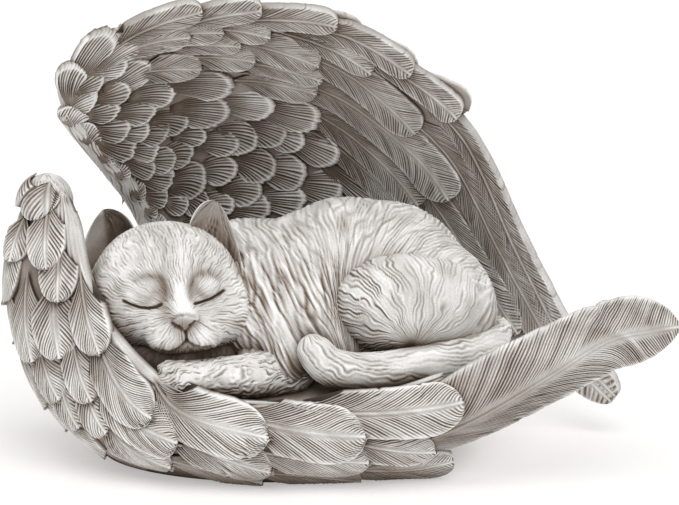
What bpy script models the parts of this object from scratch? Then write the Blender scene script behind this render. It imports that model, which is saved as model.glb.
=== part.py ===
"""Pet memorial statue: a cat asleep in a nest made of two angel wings, cast in one piece.

+X runs along the statue towards the tips of the long feathers, -Y is the front, +Z is up.
The origin is on the floor, under the middle of the statue.
"""

import math

import bmesh
import bpy
import numpy as np
from mathutils import Matrix, Vector

# Driving dimensions, in metres
STATUE_LENGTH = 0.198  # from the bend of the front wing to the tip of its longest feather
WING_WALL = 0.0062  # cast thickness of both wings at their foot, under the feathers
RIM_WALL = 0.0030  # the same at their rim
FEATHER_STEP = 0.0023  # how far a feather's tip stands above the ones that it covers
LONG_FEATHER_THICKNESS = 0.0042  # the flight feathers that reach past the nest
ROLLED_EDGE = 0.0011  # how far the round left edge of the back wing stands out on both sides
EAR_WALL = 0.0026
TAIL_RADIUS = 0.0052
FORELEG_RADIUS = 0.0055

# Fineness of the solid
CAT_GRAIN = 0.0011
STATUE_GRAIN = 0.0008
TRIANGLES = 9800

# The figure is drawn 198 units long, so the drawn numbers below are shares of its length.
DRAWN_LENGTH = 198.0
UNIT = STATUE_LENGTH / DRAWN_LENGTH

# Resin stone
STONE_COLOUR = (0.62, 0.60, 0.57, 1.0)
STONE_ROUGHNESS = 0.75

# Front wing: stations from the bend at the left, round the front, to the tips at the right.
# Each station has its foot, the widest point of its outer face, and its rim.
FRONT_WING = np.array([
    [(-86, 14, 78), (-87, 4, 82.5), (-80.5, -6, 79)],
    [(-90, 18, 66), (-95, 0, 69), (-77, -14, 73)],
    [(-90, 20, 50), (-96.5, -4, 54), (-74, -22, 61)],
    [(-84, 16, 30), (-94, -11, 38), (-68.5, -29, 48.5)],
    [(-74, 8, 9), (-86, -18, 23), (-59, -36, 38)],
    [(-62, -10, 1), (-70, -30, 12.5), (-49.5, -39.5, 31)],
    [(-48, -23, -1), (-50, -39, 11.5), (-38, -42, 27.5)],
    [(-29, -32, -1), (-27, -43.5, 11.5), (-20, -42.5, 26.5)],
    [(-8, -32, -1), (-4, -43, 12.5), (-2.5, -42.5, 27)],
    [(14, -29, 0.5), (18, -42, 15.5), (17, -40.5, 30.5)],
    [(36, -32, 9), (39, -39, 22), (37, -37.5, 37)],
    [(57, -35, 21), (59, -36, 32), (57.5, -33.5, 46)],
    [(75, -32, 30), (76, -33, 41), (74.5, -30, 52.6)],
    [(89, -28, 36), (90, -28, 43), (89, -27, 51)],
])

# Back wing: stations from the bend at the left, over the cat, down to the right.
# Each station has its foot, the deepest point of its hollow face, and its rim.
BACK_WING = np.array([
    [(-48, 34, 22), (-57, 31, 63), (-81.5, 5, 101.5)],
    [(-45, 37, 22), (-54.5, 37, 70), (-81, 1.5, 109)],
    [(-41, 39, 22), (-49.5, 41, 75.5), (-74.5, 0, 115.5)],
    [(-36, 40, 22), (-43, 43.5, 79), (-60, 2, 124.5)],
    [(-30, 41, 22), (-31, 44.5, 81), (-40, 6, 128)],
    [(-23, 41, 22), (-18, 45, 80), (-20, 9, 127.5)],
    [(-15, 41, 22), (-4, 45, 76), (2, 14, 121.5)],
    [(-7, 40, 22), (9, 44.5, 68), (22.5, 19, 107)],
    [(1, 39, 22), (18.5, 43.5, 60), (35.5, 22, 94.5)],
    [(8, 37, 21), (26, 41.5, 51), (43.5, 25, 80.5)],
    [(14, 35, 19), (34.5, 38.5, 40), (52, 26, 60)],
    [(20, 32, 17), (42, 34.5, 30), (59.5, 23, 44)],
    [(30, 28, 14), (50, 29, 21), (68.5, 19, 27)],
    [(50, 20, 9), (65, 20, 10), (83, 14, 11)],
])

# Feathers, row by row from the rim down, each row lying over the one after it.
# Each has its root and its tip as places (along, across) on the wing, and its width.
FRONT_FEATHERS = (
    (
        (-0.02, 0.72, 0.066, 0.80, 10.5), (0.01, 0.43, 0.051, 0.47, 9.0),
        (0.062, 0.81, 0.153, 0.81, 11.8), (0.076, 0.62, 0.135, 0.57, 9.0),
        (0.131, 0.88, 0.201, 0.84, 12.4), (0.184, 0.82, 0.278, 0.74, 15.0),
        (0.188, 0.97, 0.285, 0.91, 11.2), (0.265, 0.92, 0.418, 0.80, 13.6),
        (0.405, 0.93, 0.554, 0.70, 15.5), (0.525, 0.84, 0.653, 0.63, 14.9),
        (0.610, 0.90, 0.755, 0.68, 13.0),
    ),
    (
        (0.103, 0.55, 0.188, 0.44, 9.3), (0.176, 0.66, 0.271, 0.60, 11.2),
        (0.260, 0.82, 0.348, 0.72, 10.5), (0.256, 0.66, 0.328, 0.60, 9.9),
        (0.323, 0.86, 0.469, 0.64, 13.6), (0.459, 0.69, 0.566, 0.35, 12.4),
        (0.553, 0.55, 0.659, 0.38, 13.0), (0.638, 0.59, 0.727, 0.31, 10.5),
    ),
    (
        (0.174, 0.46, 0.235, 0.38, 9.0), (0.249, 0.52, 0.320, 0.44, 9.3),
        (0.304, 0.67, 0.365, 0.54, 10.5), (0.325, 0.75, 0.391, 0.61, 9.9),
        (0.382, 0.68, 0.470, 0.35, 13.6), (0.473, 0.39, 0.561, 0.15, 10.5),
        (0.562, 0.26, 0.661, 0.09, 10.0), (0.646, 0.24, 0.756, 0.02, 10.5),
    ),
    (
        (0.02, 0.20, 0.09, 0.22, 11), (0.10, 0.28, 0.17, 0.22, 11), (0.18, 0.26, 0.25, 0.20, 11),
        (0.294, 0.46, 0.345, 0.36, 10), (0.343, 0.50, 0.39, 0.30, 10), (0.385, 0.34, 0.43, 0.10, 9),
        (0.26, 0.24, 0.32, 0.16, 11),
    ),
)
# The long flight feather that reaches past the nest
FRONT_FLIGHT_FEATHERS = (((0.60, 0.37, 1.040, 0.62, 21.0),),)

BACK_FEATHERS = (
    (
        (0.066, 0.94, 0.137, 0.88, 8.4), (0.120, 0.96, 0.169, 0.92, 8.4),
        (0.169, 0.97, 0.197, 0.90, 8.1), (0.177, 0.89, 0.229, 0.87, 8.7),
        (0.181, 0.96, 0.228, 0.95, 8.7), (0.219, 0.97, 0.282, 0.96, 8.7),
        (0.227, 0.87, 0.282, 0.84, 10.5), (0.261, 0.97, 0.318, 0.94, 8.7),
        (0.289, 0.88, 0.360, 0.86, 11.2), (0.352, 0.92, 0.435, 0.88, 11.8),
        (0.317, 0.98, 0.382, 0.96, 8.1), (0.346, 0.77, 0.435, 0.77, 13.0),
        (0.413, 0.90, 0.567, 0.85, 12.4), (0.418, 0.96, 0.492, 0.94, 8.1),
    ),
    (
        (0.068, 0.82, 0.117, 0.74, 8.1), (0.089, 0.87, 0.145, 0.82, 8.1),
        (0.144, 0.88, 0.185, 0.85, 7.4), (0.144, 0.79, 0.190, 0.73, 8.7),
        (0.191, 0.80, 0.237, 0.75, 9.3), (0.252, 0.78, 0.322, 0.74, 10.5),
        (0.243, 0.68, 0.304, 0.64, 12.4), (0.314, 0.68, 0.377, 0.66, 11.2),
        (0.379, 0.66, 0.444, 0.65, 11.8), (0.419, 0.78, 0.677, 0.75, 14.2),
    ),
    (
        (0.041, 0.79, 0.084, 0.68, 8.1), (0.104, 0.75, 0.150, 0.69, 8.1),
        (0.136, 0.70, 0.185, 0.64, 8.7), (0.182, 0.69, 0.231, 0.63, 8.7),
        (0.209, 0.60, 0.258, 0.57, 7.4), (0.290, 0.56, 0.345, 0.53, 11.2),
        (0.344, 0.58, 0.393, 0.56, 9.9), (0.377, 0.57, 0.421, 0.55, 9.9),
        (0.421, 0.56, 0.477, 0.54, 10.5), (0.443, 0.67, 0.635, 0.61, 11.2),
    ),
    (
        (0.050, 0.68, 0.087, 0.58, 7.4), (0.087, 0.69, 0.131, 0.61, 8.1),
        (0.098, 0.61, 0.156, 0.54, 8.1), (0.149, 0.57, 0.218, 0.53, 8.1),
        (0.253, 0.55, 0.312, 0.53, 9.3), (0.243, 0.46, 0.303, 0.45, 9.9),
        (0.316, 0.47, 0.376, 0.44, 9.9), (0.369, 0.45, 0.433, 0.45, 11.2),
        (0.435, 0.43, 0.499, 0.45, 10.5), (0.465, 0.59, 0.609, 0.54, 9.9),
    ),
    (
        (0.030, 0.56, 0.078, 0.48, 7.4), (0.063, 0.59, 0.123, 0.50, 8.7),
        (0.088, 0.45, 0.140, 0.39, 8.1), (0.137, 0.48, 0.231, 0.42, 10.5),
        (0.144, 0.41, 0.220, 0.35, 8.1), (0.227, 0.36, 0.293, 0.35, 8.1),
        (0.287, 0.39, 0.352, 0.39, 9.3), (0.298, 0.34, 0.372, 0.34, 8.7),
        (0.367, 0.37, 0.437, 0.38, 9.9), (0.437, 0.37, 0.496, 0.40, 8.7),
        (0.481, 0.51, 0.555, 0.50, 8.7),
    ),
)
BACK_FLIGHT_FEATHERS = (((0.54, 0.87, 1.01, 0.93, 15.0), (0.52, 0.66, 0.90, 0.70, 13.0)),)

# The same for the rounded back of the back wing, where across is counted from the rim down
OUTER_FEATHERS = (
    (
        (0.06, 0.13, 0.13, 0.07, 12), (0.12, 0.10, 0.22, 0.0, 12), (0.20, 0.10, 0.30, 0.04, 13),
        (0.26, 0.10, 0.37, -0.01, 12), (0.33, 0.10, 0.425, 0.0, 12),
        (0.36, 0.10, 0.475, -0.02, 12), (0.42, 0.10, 0.535, -0.02, 12),
        (0.48, 0.10, 0.62, -0.05, 12), (0.58, 0.17, 0.73, 0.14, 13), (0.68, 0.18, 0.84, 0.15, 13),
    ),
    (
        (0.03, 0.22, 0.12, 0.20, 15), (0.11, 0.23, 0.21, 0.20, 15), (0.20, 0.23, 0.31, 0.20, 15),
        (0.30, 0.23, 0.42, 0.20, 16), (0.40, 0.23, 0.54, 0.20, 16), (0.50, 0.23, 0.67, 0.20, 16),
        (0.62, 0.24, 0.82, 0.22, 16),
    ),
    (
        (0.03, 0.40, 0.15, 0.38, 16), (0.13, 0.40, 0.26, 0.38, 16), (0.24, 0.40, 0.38, 0.38, 16),
        (0.35, 0.40, 0.52, 0.38, 16), (0.48, 0.40, 0.68, 0.38, 16), (0.62, 0.41, 0.86, 0.40, 17),
    ),
    (
        (0.03, 0.58, 0.18, 0.57, 16), (0.16, 0.58, 0.32, 0.57, 16), (0.30, 0.58, 0.48, 0.57, 16),
        (0.44, 0.58, 0.66, 0.57, 16), (0.60, 0.60, 0.86, 0.58, 16),
    ),
    (
        (0.05, 0.75, 0.24, 0.75, 14), (0.22, 0.75, 0.42, 0.75, 14), (0.38, 0.75, 0.62, 0.75, 14),
        (0.58, 0.76, 0.84, 0.75, 14),
    ),
)


def clear_scene():
    for thing in list(bpy.data.objects):
        bpy.data.objects.remove(thing)


def spline_weights(count, u):
    """Weights of count evenly spaced control points at each u, for a smooth curve through them.

    Past either end, the curve goes on straight."""
    along = np.asarray(u, float) * (count - 1)
    inside = np.clip(along, 0, count - 1)
    past = along - inside
    left = np.minimum(inside.astype(int), count - 2)
    f = inside - left
    blend = (
        (-f + 2 * f**2 - f**3) / 2,
        (2 - 5 * f**2 + 3 * f**3) / 2,
        (f + 4 * f**2 - 3 * f**3) / 2,
        (-(f**2) + f**3) / 2,
    )
    table = np.zeros((len(along), count + 2))
    row = np.arange(len(along))
    for step, share in enumerate(blend):
        table[row, left + step] += share
    table[:, 1] += 2 * table[:, 0]
    table[:, 2] -= table[:, 0]
    table[:, -2] += 2 * table[:, -1]
    table[:, -3] -= table[:, -1]
    table = table[:, 1:-1]
    before, after = np.minimum(past, 0), np.maximum(past, 0)
    table[:, 1] += before
    table[:, 0] -= before
    table[:, -1] += after
    table[:, -2] -= after
    return table


def front_wing(s, t):
    """Outer face of the front wing: s from the bend to the tips, t from the foot to the rim."""
    along = spline_weights(len(FRONT_WING), s)
    across = spline_weights(3, t)
    return np.einsum("ni,nj,ijk->nk", along, across, FRONT_WING)


def back_wing(s, t):
    """Hollow face of the back wing: s from the bend to the tips, t from the foot to the rim."""
    along = spline_weights(len(BACK_WING), s)
    across = spline_weights(3, t)
    return np.einsum("ni,nj,ijk->nk", along, across, BACK_WING)


def wall_at(t):
    """Thickness of a wing at t from its foot to its rim, in drawn units."""
    t = np.clip(np.asarray(t, float), 0, 1)
    return (WING_WALL + (RIM_WALL - WING_WALL) * t)[..., None] / UNIT


def back_of_back_wing(s, t):
    """Rounded outer face of the back wing, with t turned round so that its normal faces out."""
    t = 1 - np.asarray(t, float)
    points, normals = with_normals(back_wing, s, t)
    return points - normals * wall_at(t)


def with_normals(face, s, t):
    """Points of a wing's face, and the unit normals on its feathered side."""
    s, t = np.broadcast_arrays(np.asarray(s, float), np.asarray(t, float))
    shape = s.shape
    s, t = s.ravel(), t.ravel()
    small = 1e-3
    along = face(s + small, t) - face(s - small, t)
    across = face(s, t + small) - face(s, t - small)
    normals = np.cross(along, across)
    normals /= np.linalg.norm(normals, axis=1)[:, None] + 1e-12
    return face(s, t).reshape(*shape, 3), normals.reshape(*shape, 3)


def moved_on_face(face, s, t, offset):
    """The (s, t) that lies offset away from each point, measured along the face."""
    small = 1e-3
    along = (face(s + small, t) - face(s - small, t)) / (2 * small)
    across = (face(s, t + small) - face(s, t - small)) / (2 * small)
    aa, bb = (along**2).sum(1), (across**2).sum(1)
    ab = (along * across).sum(1)
    pa, pb = (along * offset).sum(1), (across * offset).sum(1)
    det = aa * bb - ab**2 + 1e-9
    return s + (pa * bb - pb * ab) / det, t + (pb * aa - pa * ab) / det


class Clay:
    """Closed shapes gathered into one mesh, in drawn units."""

    def __init__(self):
        self.points = []
        self.faces = []

    def add(self, points, faces):
        start = len(self.points)
        self.points += [tuple(p) for p in points]
        self.faces += [tuple(start + i for i in face) for face in faces]

    def slab(self, top, bottom):
        """Closed slab between two grids of the same size."""
        rows, columns = top.shape[:2]
        across = rows * columns
        number = np.arange(across).reshape(rows, columns)
        faces = []
        for i in range(rows - 1):
            for j in range(columns - 1):
                a, b = number[i, j], number[i, j + 1]
                c, d = number[i + 1, j + 1], number[i + 1, j]
                faces.append((a, b, c, d))
                faces.append((d + across, c + across, b + across, a + across))
        edge = [*number[0, :-1], *number[:-1, -1], *number[-1, :0:-1], *number[:0:-1, 0]]
        for a, b in zip(edge, edge[1:] + edge[:1]):
            faces.append((b, a, a + across, b + across))
        self.add(np.concatenate([top.reshape(-1, 3), bottom.reshape(-1, 3)]), faces)

    def ball(self, centre, radii, turn=(0, 0, 0)):
        """Ellipsoid, turned by angles in degrees about X, Y and Z."""
        ball = bmesh.new()
        bmesh.ops.create_icosphere(ball, subdivisions=3, radius=1.0)
        angles = [math.radians(a) for a in turn]
        place = Matrix.Translation(centre) @ Matrix.Rotation(angles[2], 4, "Z")
        place = place @ Matrix.Rotation(angles[1], 4, "Y") @ Matrix.Rotation(angles[0], 4, "X")
        place = place @ Matrix.Diagonal((*radii, 1.0))
        bmesh.ops.transform(ball, matrix=place, verts=ball.verts)
        ball.verts.index_update()
        self.add([v.co for v in ball.verts], [[v.index for v in f.verts] for f in ball.faces])
        ball.free()

    def roll(self, path, radii):
        """Round roll of clay along a smooth path, with a radius at each of its points."""
        path, radii = np.array(path, float), np.array(radii, float)
        count = 9 * len(path)
        table = spline_weights(len(path), np.linspace(0, 1, count))
        for centre, radius in zip(table @ path, table @ radii):
            self.ball(centre, (radius,) * 3)

    def wall(self, face, s_range, t_range, rows=36, columns=10):
        """Part of a wing's face, thickened away from its feathered side."""
        s, t = np.meshgrid(
            np.linspace(*s_range, rows), np.linspace(*t_range, columns), indexing="ij"
        )
        top, normals = with_normals(face, s, t)
        self.slab(top, top - normals * wall_at(t))

    def feather(self, face, place, climb, tilt, depth, tip):
        """Feather laid on a wing's face, with a round end.

        It climbs from root to tip, and tilts so that its lower edge lies over the next row.
        Its end is rounded over tip times its width."""
        root_s, root_t, tip_s, tip_t, width = place
        ends, _ = with_normals(face, (root_s, tip_s), (root_t, tip_t))
        length = float(np.linalg.norm(ends[1] - ends[0]))
        straight = 1 - min(0.6, tip * width / length)
        blunt = np.array((0, 0, 0, 0, 0.3, 0.55, 0.75, 0.9, 0.98, 1.0))
        a = straight * np.array((0, 0.33, 0.67, 1, 1, 1, 1, 1, 1, 1)) + (1 - straight) * blunt
        b = np.linspace(-1, 1, 5)
        s = root_s + (tip_s - root_s) * a
        t = root_t + (tip_t - root_t) * a
        centre, normal = with_normals(face, s, t)
        ahead = np.gradient(centre, axis=0)
        side = np.cross(normal, ahead)
        side /= np.linalg.norm(side, axis=1)[:, None]
        swell = 0.6 + 0.4 * np.sin(math.pi / 2 * np.clip(a / straight, 0, 1))
        half = width / 2 * swell * np.sqrt(1.002 - blunt**2)
        rows, columns = len(a), len(b)
        offset = (side[:, None] * (half[:, None] * b)[..., None]).reshape(-1, 3)
        spread = moved_on_face(face, np.repeat(s, columns), np.repeat(t, columns), offset)
        on_face, normals = with_normals(face, *spread)
        crown = 0.4 * (1 - b**2)
        height = climb * (0.1 + 0.9 * a)[:, None] + crown - tilt * b
        top = on_face + normals * height.reshape(-1, 1)
        bottom = top - normals * depth
        self.slab(top.reshape(rows, columns, 3), bottom.reshape(rows, columns, 3))

    def mesh_object(self, name):
        mesh = bpy.data.meshes.new(name)
        scaled = np.array(self.points) * UNIT
        mesh.from_pydata([tuple(p) for p in scaled], [], self.faces)
        thing = bpy.data.objects.new(name, mesh)
        bpy.context.scene.collection.objects.link(thing)
        return thing


def settle(thing):
    """Replaces an object's mesh by what its modifiers make of it."""
    bpy.context.view_layer.update()
    graph = bpy.context.evaluated_depsgraph_get()
    mesh = bpy.data.meshes.new_from_object(thing.evaluated_get(graph))
    thing.modifiers.clear()
    thing.data = mesh


def fuse(thing, grain):
    """Joins all the closed shapes in an object into one skin."""
    remesh = thing.modifiers.new("Fuse", "REMESH")
    remesh.mode = "VOXEL"
    remesh.voxel_size = grain
    remesh.adaptivity = 0.0
    settle(thing)


def keep_outer_skin(thing):
    """Drops the skins of closed hollows inside the solid, which has one outer skin."""
    skin = bmesh.new()
    skin.from_mesh(thing.data)
    unseen = set(skin.verts)
    shells = []
    while unseen:
        shell = [unseen.pop()]
        for vert in shell:
            for edge in vert.link_edges:
                other = edge.other_vert(vert)
                if other in unseen:
                    unseen.discard(other)
                    shell.append(other)
        shells.append(shell)
    shells.sort(key=len)
    for shell in shells[:-1]:
        bmesh.ops.delete(skin, geom=shell, context="VERTS")
    skin.to_mesh(thing.data)
    skin.free()


def cat():
    """The sleeping cat, curled with its head at the left and its tail round its front."""
    clay = Clay()
    tail, foreleg = TAIL_RADIUS / UNIT, FORELEG_RADIUS / UNIT

    # Skull, cheeks, muzzle, nose and closed lids
    clay.ball((-50.8, -10.5, 52.3), (22.6, 20, 19.8))
    clay.ball((-63.8, -13.8, 46.8), (12.6, 12.6, 11.1))
    clay.ball((-35, -15, 47.4), (10.8, 12.2, 10.8))
    clay.ball((-45.2, -25, 44.6), (12, 10, 8.2))
    for pad_x, pad_z in ((-50.4, 42.9), (-39.4, 44.0)):
        clay.ball((pad_x, -30, pad_z), (6.3, 5.8, 5.3))
    clay.ball((-46, -28, 39.4), (5.5, 5, 3.4))
    clay.roll([(-47, -24, 62), (-45.5, -30, 55.5), (-44.2, -34, 49)], (5, 4, 3))
    for lid_x, lid_z in ((-55.6, 55.0), (-38.6, 56.2)):
        clay.ball((lid_x, -25.2, lid_z), (5.3, 5, 4.4))

    # Chest, also under the chin, shoulders, back and rump
    clay.ball((-47, -16, 33.5), (19, 15, 9.5))
    clay.ball((-24, -10, 41), (15, 16, 19))
    clay.roll([(-18, -8, 52), (-13, -19, 42), (-15, -26, 33)], (10, 9.5, 6.5))
    clay.roll(
        [(-31, 4, 45.5), (-16, 8, 44.5), (2, 10, 47), (13, 9, 47), (21, 4, 41)],
        (23, 23.5, 27.5, 26.5, 24),
    )
    # Thigh
    clay.ball((18, -14, 47.5), (21, 14.5, 15.5), turn=(0, 4, 6))
    # Tail, from the rump round the front to its curled tip
    clay.roll(
        [(46, 5, 34), (42, -10, 34.5), (31, -22, 34), (18, -28, 32.6), (6, -31, 32),
         (-3, -32.5, 34.5), (-7.5, -32, 39.5)],
        (tail, tail, 1.05 * tail, 1.1 * tail, 1.1 * tail, 1.05 * tail, 0.9 * tail),
    )
    # Foreleg under the chin, with three toes
    clay.roll(
        [(-16, -26, 32), (-28, -30, 32), (-40, -33, 31.5), (-46, -34.5, 31)],
        (1.15 * foreleg, 1.05 * foreleg, 0.95 * foreleg, 0.95 * foreleg),
    )
    for toe in range(3):
        clay.ball((-51 + 1.4 * toe, -36 + 1.4 * toe, 28.6 + 2.6 * toe), (3.4, 3, 2.3))

    body = clay.mesh_object("cat_clay")
    fuse(body, CAT_GRAIN)
    smooth = body.modifiers.new("Blend", "SMOOTH")
    smooth.factor = 0.5
    smooth.iterations = 8
    settle(body)
    return body


def ears(clay):
    """Two cupped ears, each a bent triangle with a round tip."""
    wall = EAR_WALL / UNIT
    # Outer corner, inner corner, tip and how far the cup sinks back
    for outer, inner, tip, cup in (
        ((-76.5, -3, 59), (-60.5, -6, 67.5), (-69, 0, 72.5), (2.0, 5.5, -1.0)),
        ((-28.5, -11.5, 58), (-43.5, -8.5, 68), (-36.3, -3, 75.6), (-2.0, 5.5, -1.0)),
    ):
        outer, inner, tip, cup = (np.array(p, float) for p in (outer, inner, tip, cup))
        a = np.linspace(-0.25, 1, 9)[:, None, None]
        b = np.linspace(-1, 1, 9)[None, :, None]
        narrow = np.clip(1 - np.clip(a, 0, 1) ** 2.3, 0.005, 1) ** 0.6
        middle = (outer + inner) / 2
        front = middle + (tip - middle) * a + (outer - inner) / 2 * b * narrow
        front = front + cup * (1 - b**2) * narrow
        back = front + cup / np.linalg.norm(cup) * wall
        clay.slab(front, back)


def bed(clay):
    """Solid nest under the cat, with the oval foot that the statue stands on."""
    levels = (
        # height, centre x, centre y, half length, half depth
        (-4, -19, 0, 47, 30),
        (0, -19, 0, 51, 33.5),
        (7, -18, -1, 58, 40),
        (15, -15, -1, 60, 42),
        (22, -14, 0, 59, 41),
        (24.5, -14, 2, 50, 34),
    )
    turns = np.linspace(0, 2 * math.pi, 49)[:-1]
    rings = []
    for z, x, y, length, depth in levels:
        ring = np.stack([x + length * np.cos(turns), y + depth * np.sin(turns), z + 0 * turns], 1)
        rings.append(ring)
    count = len(turns)
    faces = []
    for level in range(len(rings) - 1):
        for i in range(count):
            j = (i + 1) % count
            low, high = level * count, (level + 1) * count
            faces.append((low + i, low + j, high + j, high + i))
    faces.append(tuple(range(count))[::-1])
    faces.append(tuple(range((len(rings) - 1) * count, len(rings) * count)))
    clay.add(np.concatenate(rings), faces)


def statue():
    clay = Clay()
    clay.wall(front_wing, (0.0, 0.74), (0.0, 1.0))
    clay.wall(back_wing, (0.0, 0.90), (0.0, 1.0))
    # Round bend of the front wing
    clay.ball((-86.5, 4, 74.5), (8.4, 12.5, 9.0))
    across = np.linspace(0.25, 1, 7)
    edge, normals = with_normals(back_wing, np.zeros(len(across)), across)
    half_wall = wall_at(across) / 2
    clay.roll(edge - normals * half_wall, half_wall[:, 0] + ROLLED_EDGE / UNIT)
    bed(clay)
    ears(clay)
    step, thin = FEATHER_STEP / UNIT, RIM_WALL / UNIT
    thick = LONG_FEATHER_THICKNESS / UNIT
    for face, rows, climb, tilt, depth, tip in (
        (front_wing, FRONT_FEATHERS, step, 0.4 * step, thin, 0.55),
        (back_wing, BACK_FEATHERS, 0.85 * step, 0.35 * step, thin, 0.55),
        (back_of_back_wing, OUTER_FEATHERS, step, -0.3 * step, thin, 0.55),
        (front_wing, FRONT_FLIGHT_FEATHERS, 0.5 * step, 0, thick, 1.0),
        (back_wing, BACK_FLIGHT_FEATHERS, 0.4 * step, 0, thick, 0.55),
    ):
        for row in rows:
            for place in row:
                clay.feather(face, place, climb, tilt, depth, tip)
    whole = clay.mesh_object("cat_asleep_in_wings")

    sleeper = cat()
    joined = bmesh.new()
    joined.from_mesh(whole.data)
    joined.from_mesh(sleeper.data)
    joined.to_mesh(whole.data)
    joined.free()
    bpy.data.objects.remove(sleeper)
    fuse(whole, STATUE_GRAIN)
    keep_outer_skin(whole)

    fewer = whole.modifiers.new("Fewer faces", "DECIMATE")
    fewer.ratio = min(1.0, TRIANGLES / (2 * len(whole.data.polygons)))
    cutter = stand_flat(whole)
    settle(whole)
    bpy.data.objects.remove(cutter)
    centre_on_origin(whole)
    return whole


def stand_flat(whole):
    """Cuts off what is below the floor, so that the foot is one flat face."""
    ground = bpy.data.meshes.new("floor_cut")
    block = bmesh.new()
    bmesh.ops.create_cube(block, size=2 * STATUE_LENGTH)
    bmesh.ops.translate(block, vec=Vector((0, 0, -STATUE_LENGTH)), verts=block.verts)
    block.to_mesh(ground)
    block.free()
    cutter = bpy.data.objects.new("floor_cut", ground)
    cutter.hide_render = True
    cutter.display_type = "WIRE"
    bpy.context.scene.collection.objects.link(cutter)
    cut = whole.modifiers.new("Flat foot", "BOOLEAN")
    cut.operation = "DIFFERENCE"
    cut.object = cutter
    return cutter


def centre_on_origin(whole):
    """Moves the middle of the statue's length and depth over the origin."""
    points = np.array([v.co for v in whole.data.vertices])
    middle = (points.min(axis=0) + points.max(axis=0)) / 2
    whole.data.transform(Matrix.Translation((-middle[0], -middle[1], 0)))


def stone():
    material = bpy.data.materials.new("resin stone")
    material.use_nodes = True
    shader = material.node_tree.nodes["Principled BSDF"]
    shader.inputs["Base Color"].default_value = STONE_COLOUR
    shader.inputs["Roughness"].default_value = STONE_ROUGHNESS
    shader.inputs["Metallic"].default_value = 0.0
    return material


clear_scene()
figure = statue()
figure.data.materials.append(stone())
figure.data.shade_smooth()
figure.data.set_sharp_from_angle(angle=math.radians(40))
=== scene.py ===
import itertools
import math
import bpy
import numpy as np
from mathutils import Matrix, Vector


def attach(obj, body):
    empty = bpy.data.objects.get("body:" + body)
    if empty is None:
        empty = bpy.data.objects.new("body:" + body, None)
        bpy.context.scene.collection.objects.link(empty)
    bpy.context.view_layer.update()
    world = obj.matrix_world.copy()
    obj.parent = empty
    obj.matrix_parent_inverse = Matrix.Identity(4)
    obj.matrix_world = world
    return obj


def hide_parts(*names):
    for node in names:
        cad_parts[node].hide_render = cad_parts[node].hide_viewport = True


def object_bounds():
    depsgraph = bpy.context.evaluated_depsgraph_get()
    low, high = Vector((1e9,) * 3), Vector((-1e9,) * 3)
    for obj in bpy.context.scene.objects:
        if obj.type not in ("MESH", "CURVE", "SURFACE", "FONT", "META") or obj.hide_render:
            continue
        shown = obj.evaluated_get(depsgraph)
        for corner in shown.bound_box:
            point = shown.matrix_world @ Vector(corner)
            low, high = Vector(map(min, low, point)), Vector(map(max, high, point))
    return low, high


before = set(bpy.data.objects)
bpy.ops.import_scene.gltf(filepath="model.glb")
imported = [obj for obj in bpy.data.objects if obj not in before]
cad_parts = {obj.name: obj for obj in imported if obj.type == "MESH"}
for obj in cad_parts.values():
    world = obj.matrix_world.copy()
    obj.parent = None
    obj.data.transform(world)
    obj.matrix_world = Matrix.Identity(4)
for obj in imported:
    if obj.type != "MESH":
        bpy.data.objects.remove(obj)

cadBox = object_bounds()
node = "cat_asleep_in_wings"
pieces = []  # the carved pieces that take the solid's place

# The statue is drawn in millimetres, and moved so that its left and front ends meet the solid's.
drawnLeft, drawnFront = -99.53, -47.30
drawnToFrame = np.array((cadBox[0][0] * 1000 - drawnLeft, cadBox[0][1] * 1000 - drawnFront, 0.0))


def splineWeights(count, u):
    # weights of evenly spaced control points at each u: a Catmull-Rom curve, straight on past its ends
    along = np.asarray(u, float) * (count - 1)
    inside = np.clip(along, 0, count - 1)
    past = along - inside
    left = np.minimum(inside.astype(int), count - 2)
    f = inside - left
    blend = (
        (-f + 2 * f**2 - f**3) / 2,
        (2 - 5 * f**2 + 3 * f**3) / 2,
        (f + 4 * f**2 - 3 * f**3) / 2,
        (f**3 - f**2) / 2,
    )
    table = np.zeros((len(along), count + 2))
    row = np.arange(len(along))
    for step, share in enumerate(blend):
        table[row, left + step] += share
    # the two points beyond the ends lie on the straight line through the last two real ones
    table[:, 1] += 2 * table[:, 0]
    table[:, 2] -= table[:, 0]
    table[:, -2] += 2 * table[:, -1]
    table[:, -3] -= table[:, -1]
    table = table[:, 1:-1]
    before = np.minimum(past, 0)
    after = np.maximum(past, 0)
    table[:, 1] += before
    table[:, 0] -= before
    table[:, -1] += after
    table[:, -2] -= after
    return table


# Front wing, from its bend at the left to the tips at the right: foot, widest point, rim
frontStations = np.array([
    [(-86, 14, 78), (-87, 4, 82.5), (-80.5, -6, 79)],
    [(-90, 18, 66), (-95, 0, 69), (-77, -14, 73)],
    [(-90, 20, 50), (-96.5, -4, 54), (-74, -22, 61)],
    [(-84, 16, 30), (-94, -11, 38), (-68.5, -29, 48.5)],
    [(-74, 8, 9), (-86, -18, 23), (-59, -36, 38)],
    [(-62, -10, 1), (-70, -30, 12.5), (-49.5, -39.5, 31)],
    [(-48, -23, 0), (-50, -39, 11.5), (-38, -42, 27.5)],
    [(-29, -32, 0), (-27, -43.5, 11.5), (-20, -42.5, 26.5)],
    [(-8, -32, 0), (-4, -43, 12.5), (-2.5, -42.5, 27)],
    [(14, -29, 0.5), (18, -42, 15.5), (17, -40.5, 30.5)],
    [(36, -32, 9), (39, -39, 22), (37, -37.5, 37)],
    [(57, -35, 21), (59, -36, 32), (57.5, -33.5, 46)],
    [(75, -32, 30), (76, -33, 41), (74.5, -30, 52.6)],
    [(89, -28, 36), (90, -28, 43), (89, -27, 51)],
])
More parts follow.
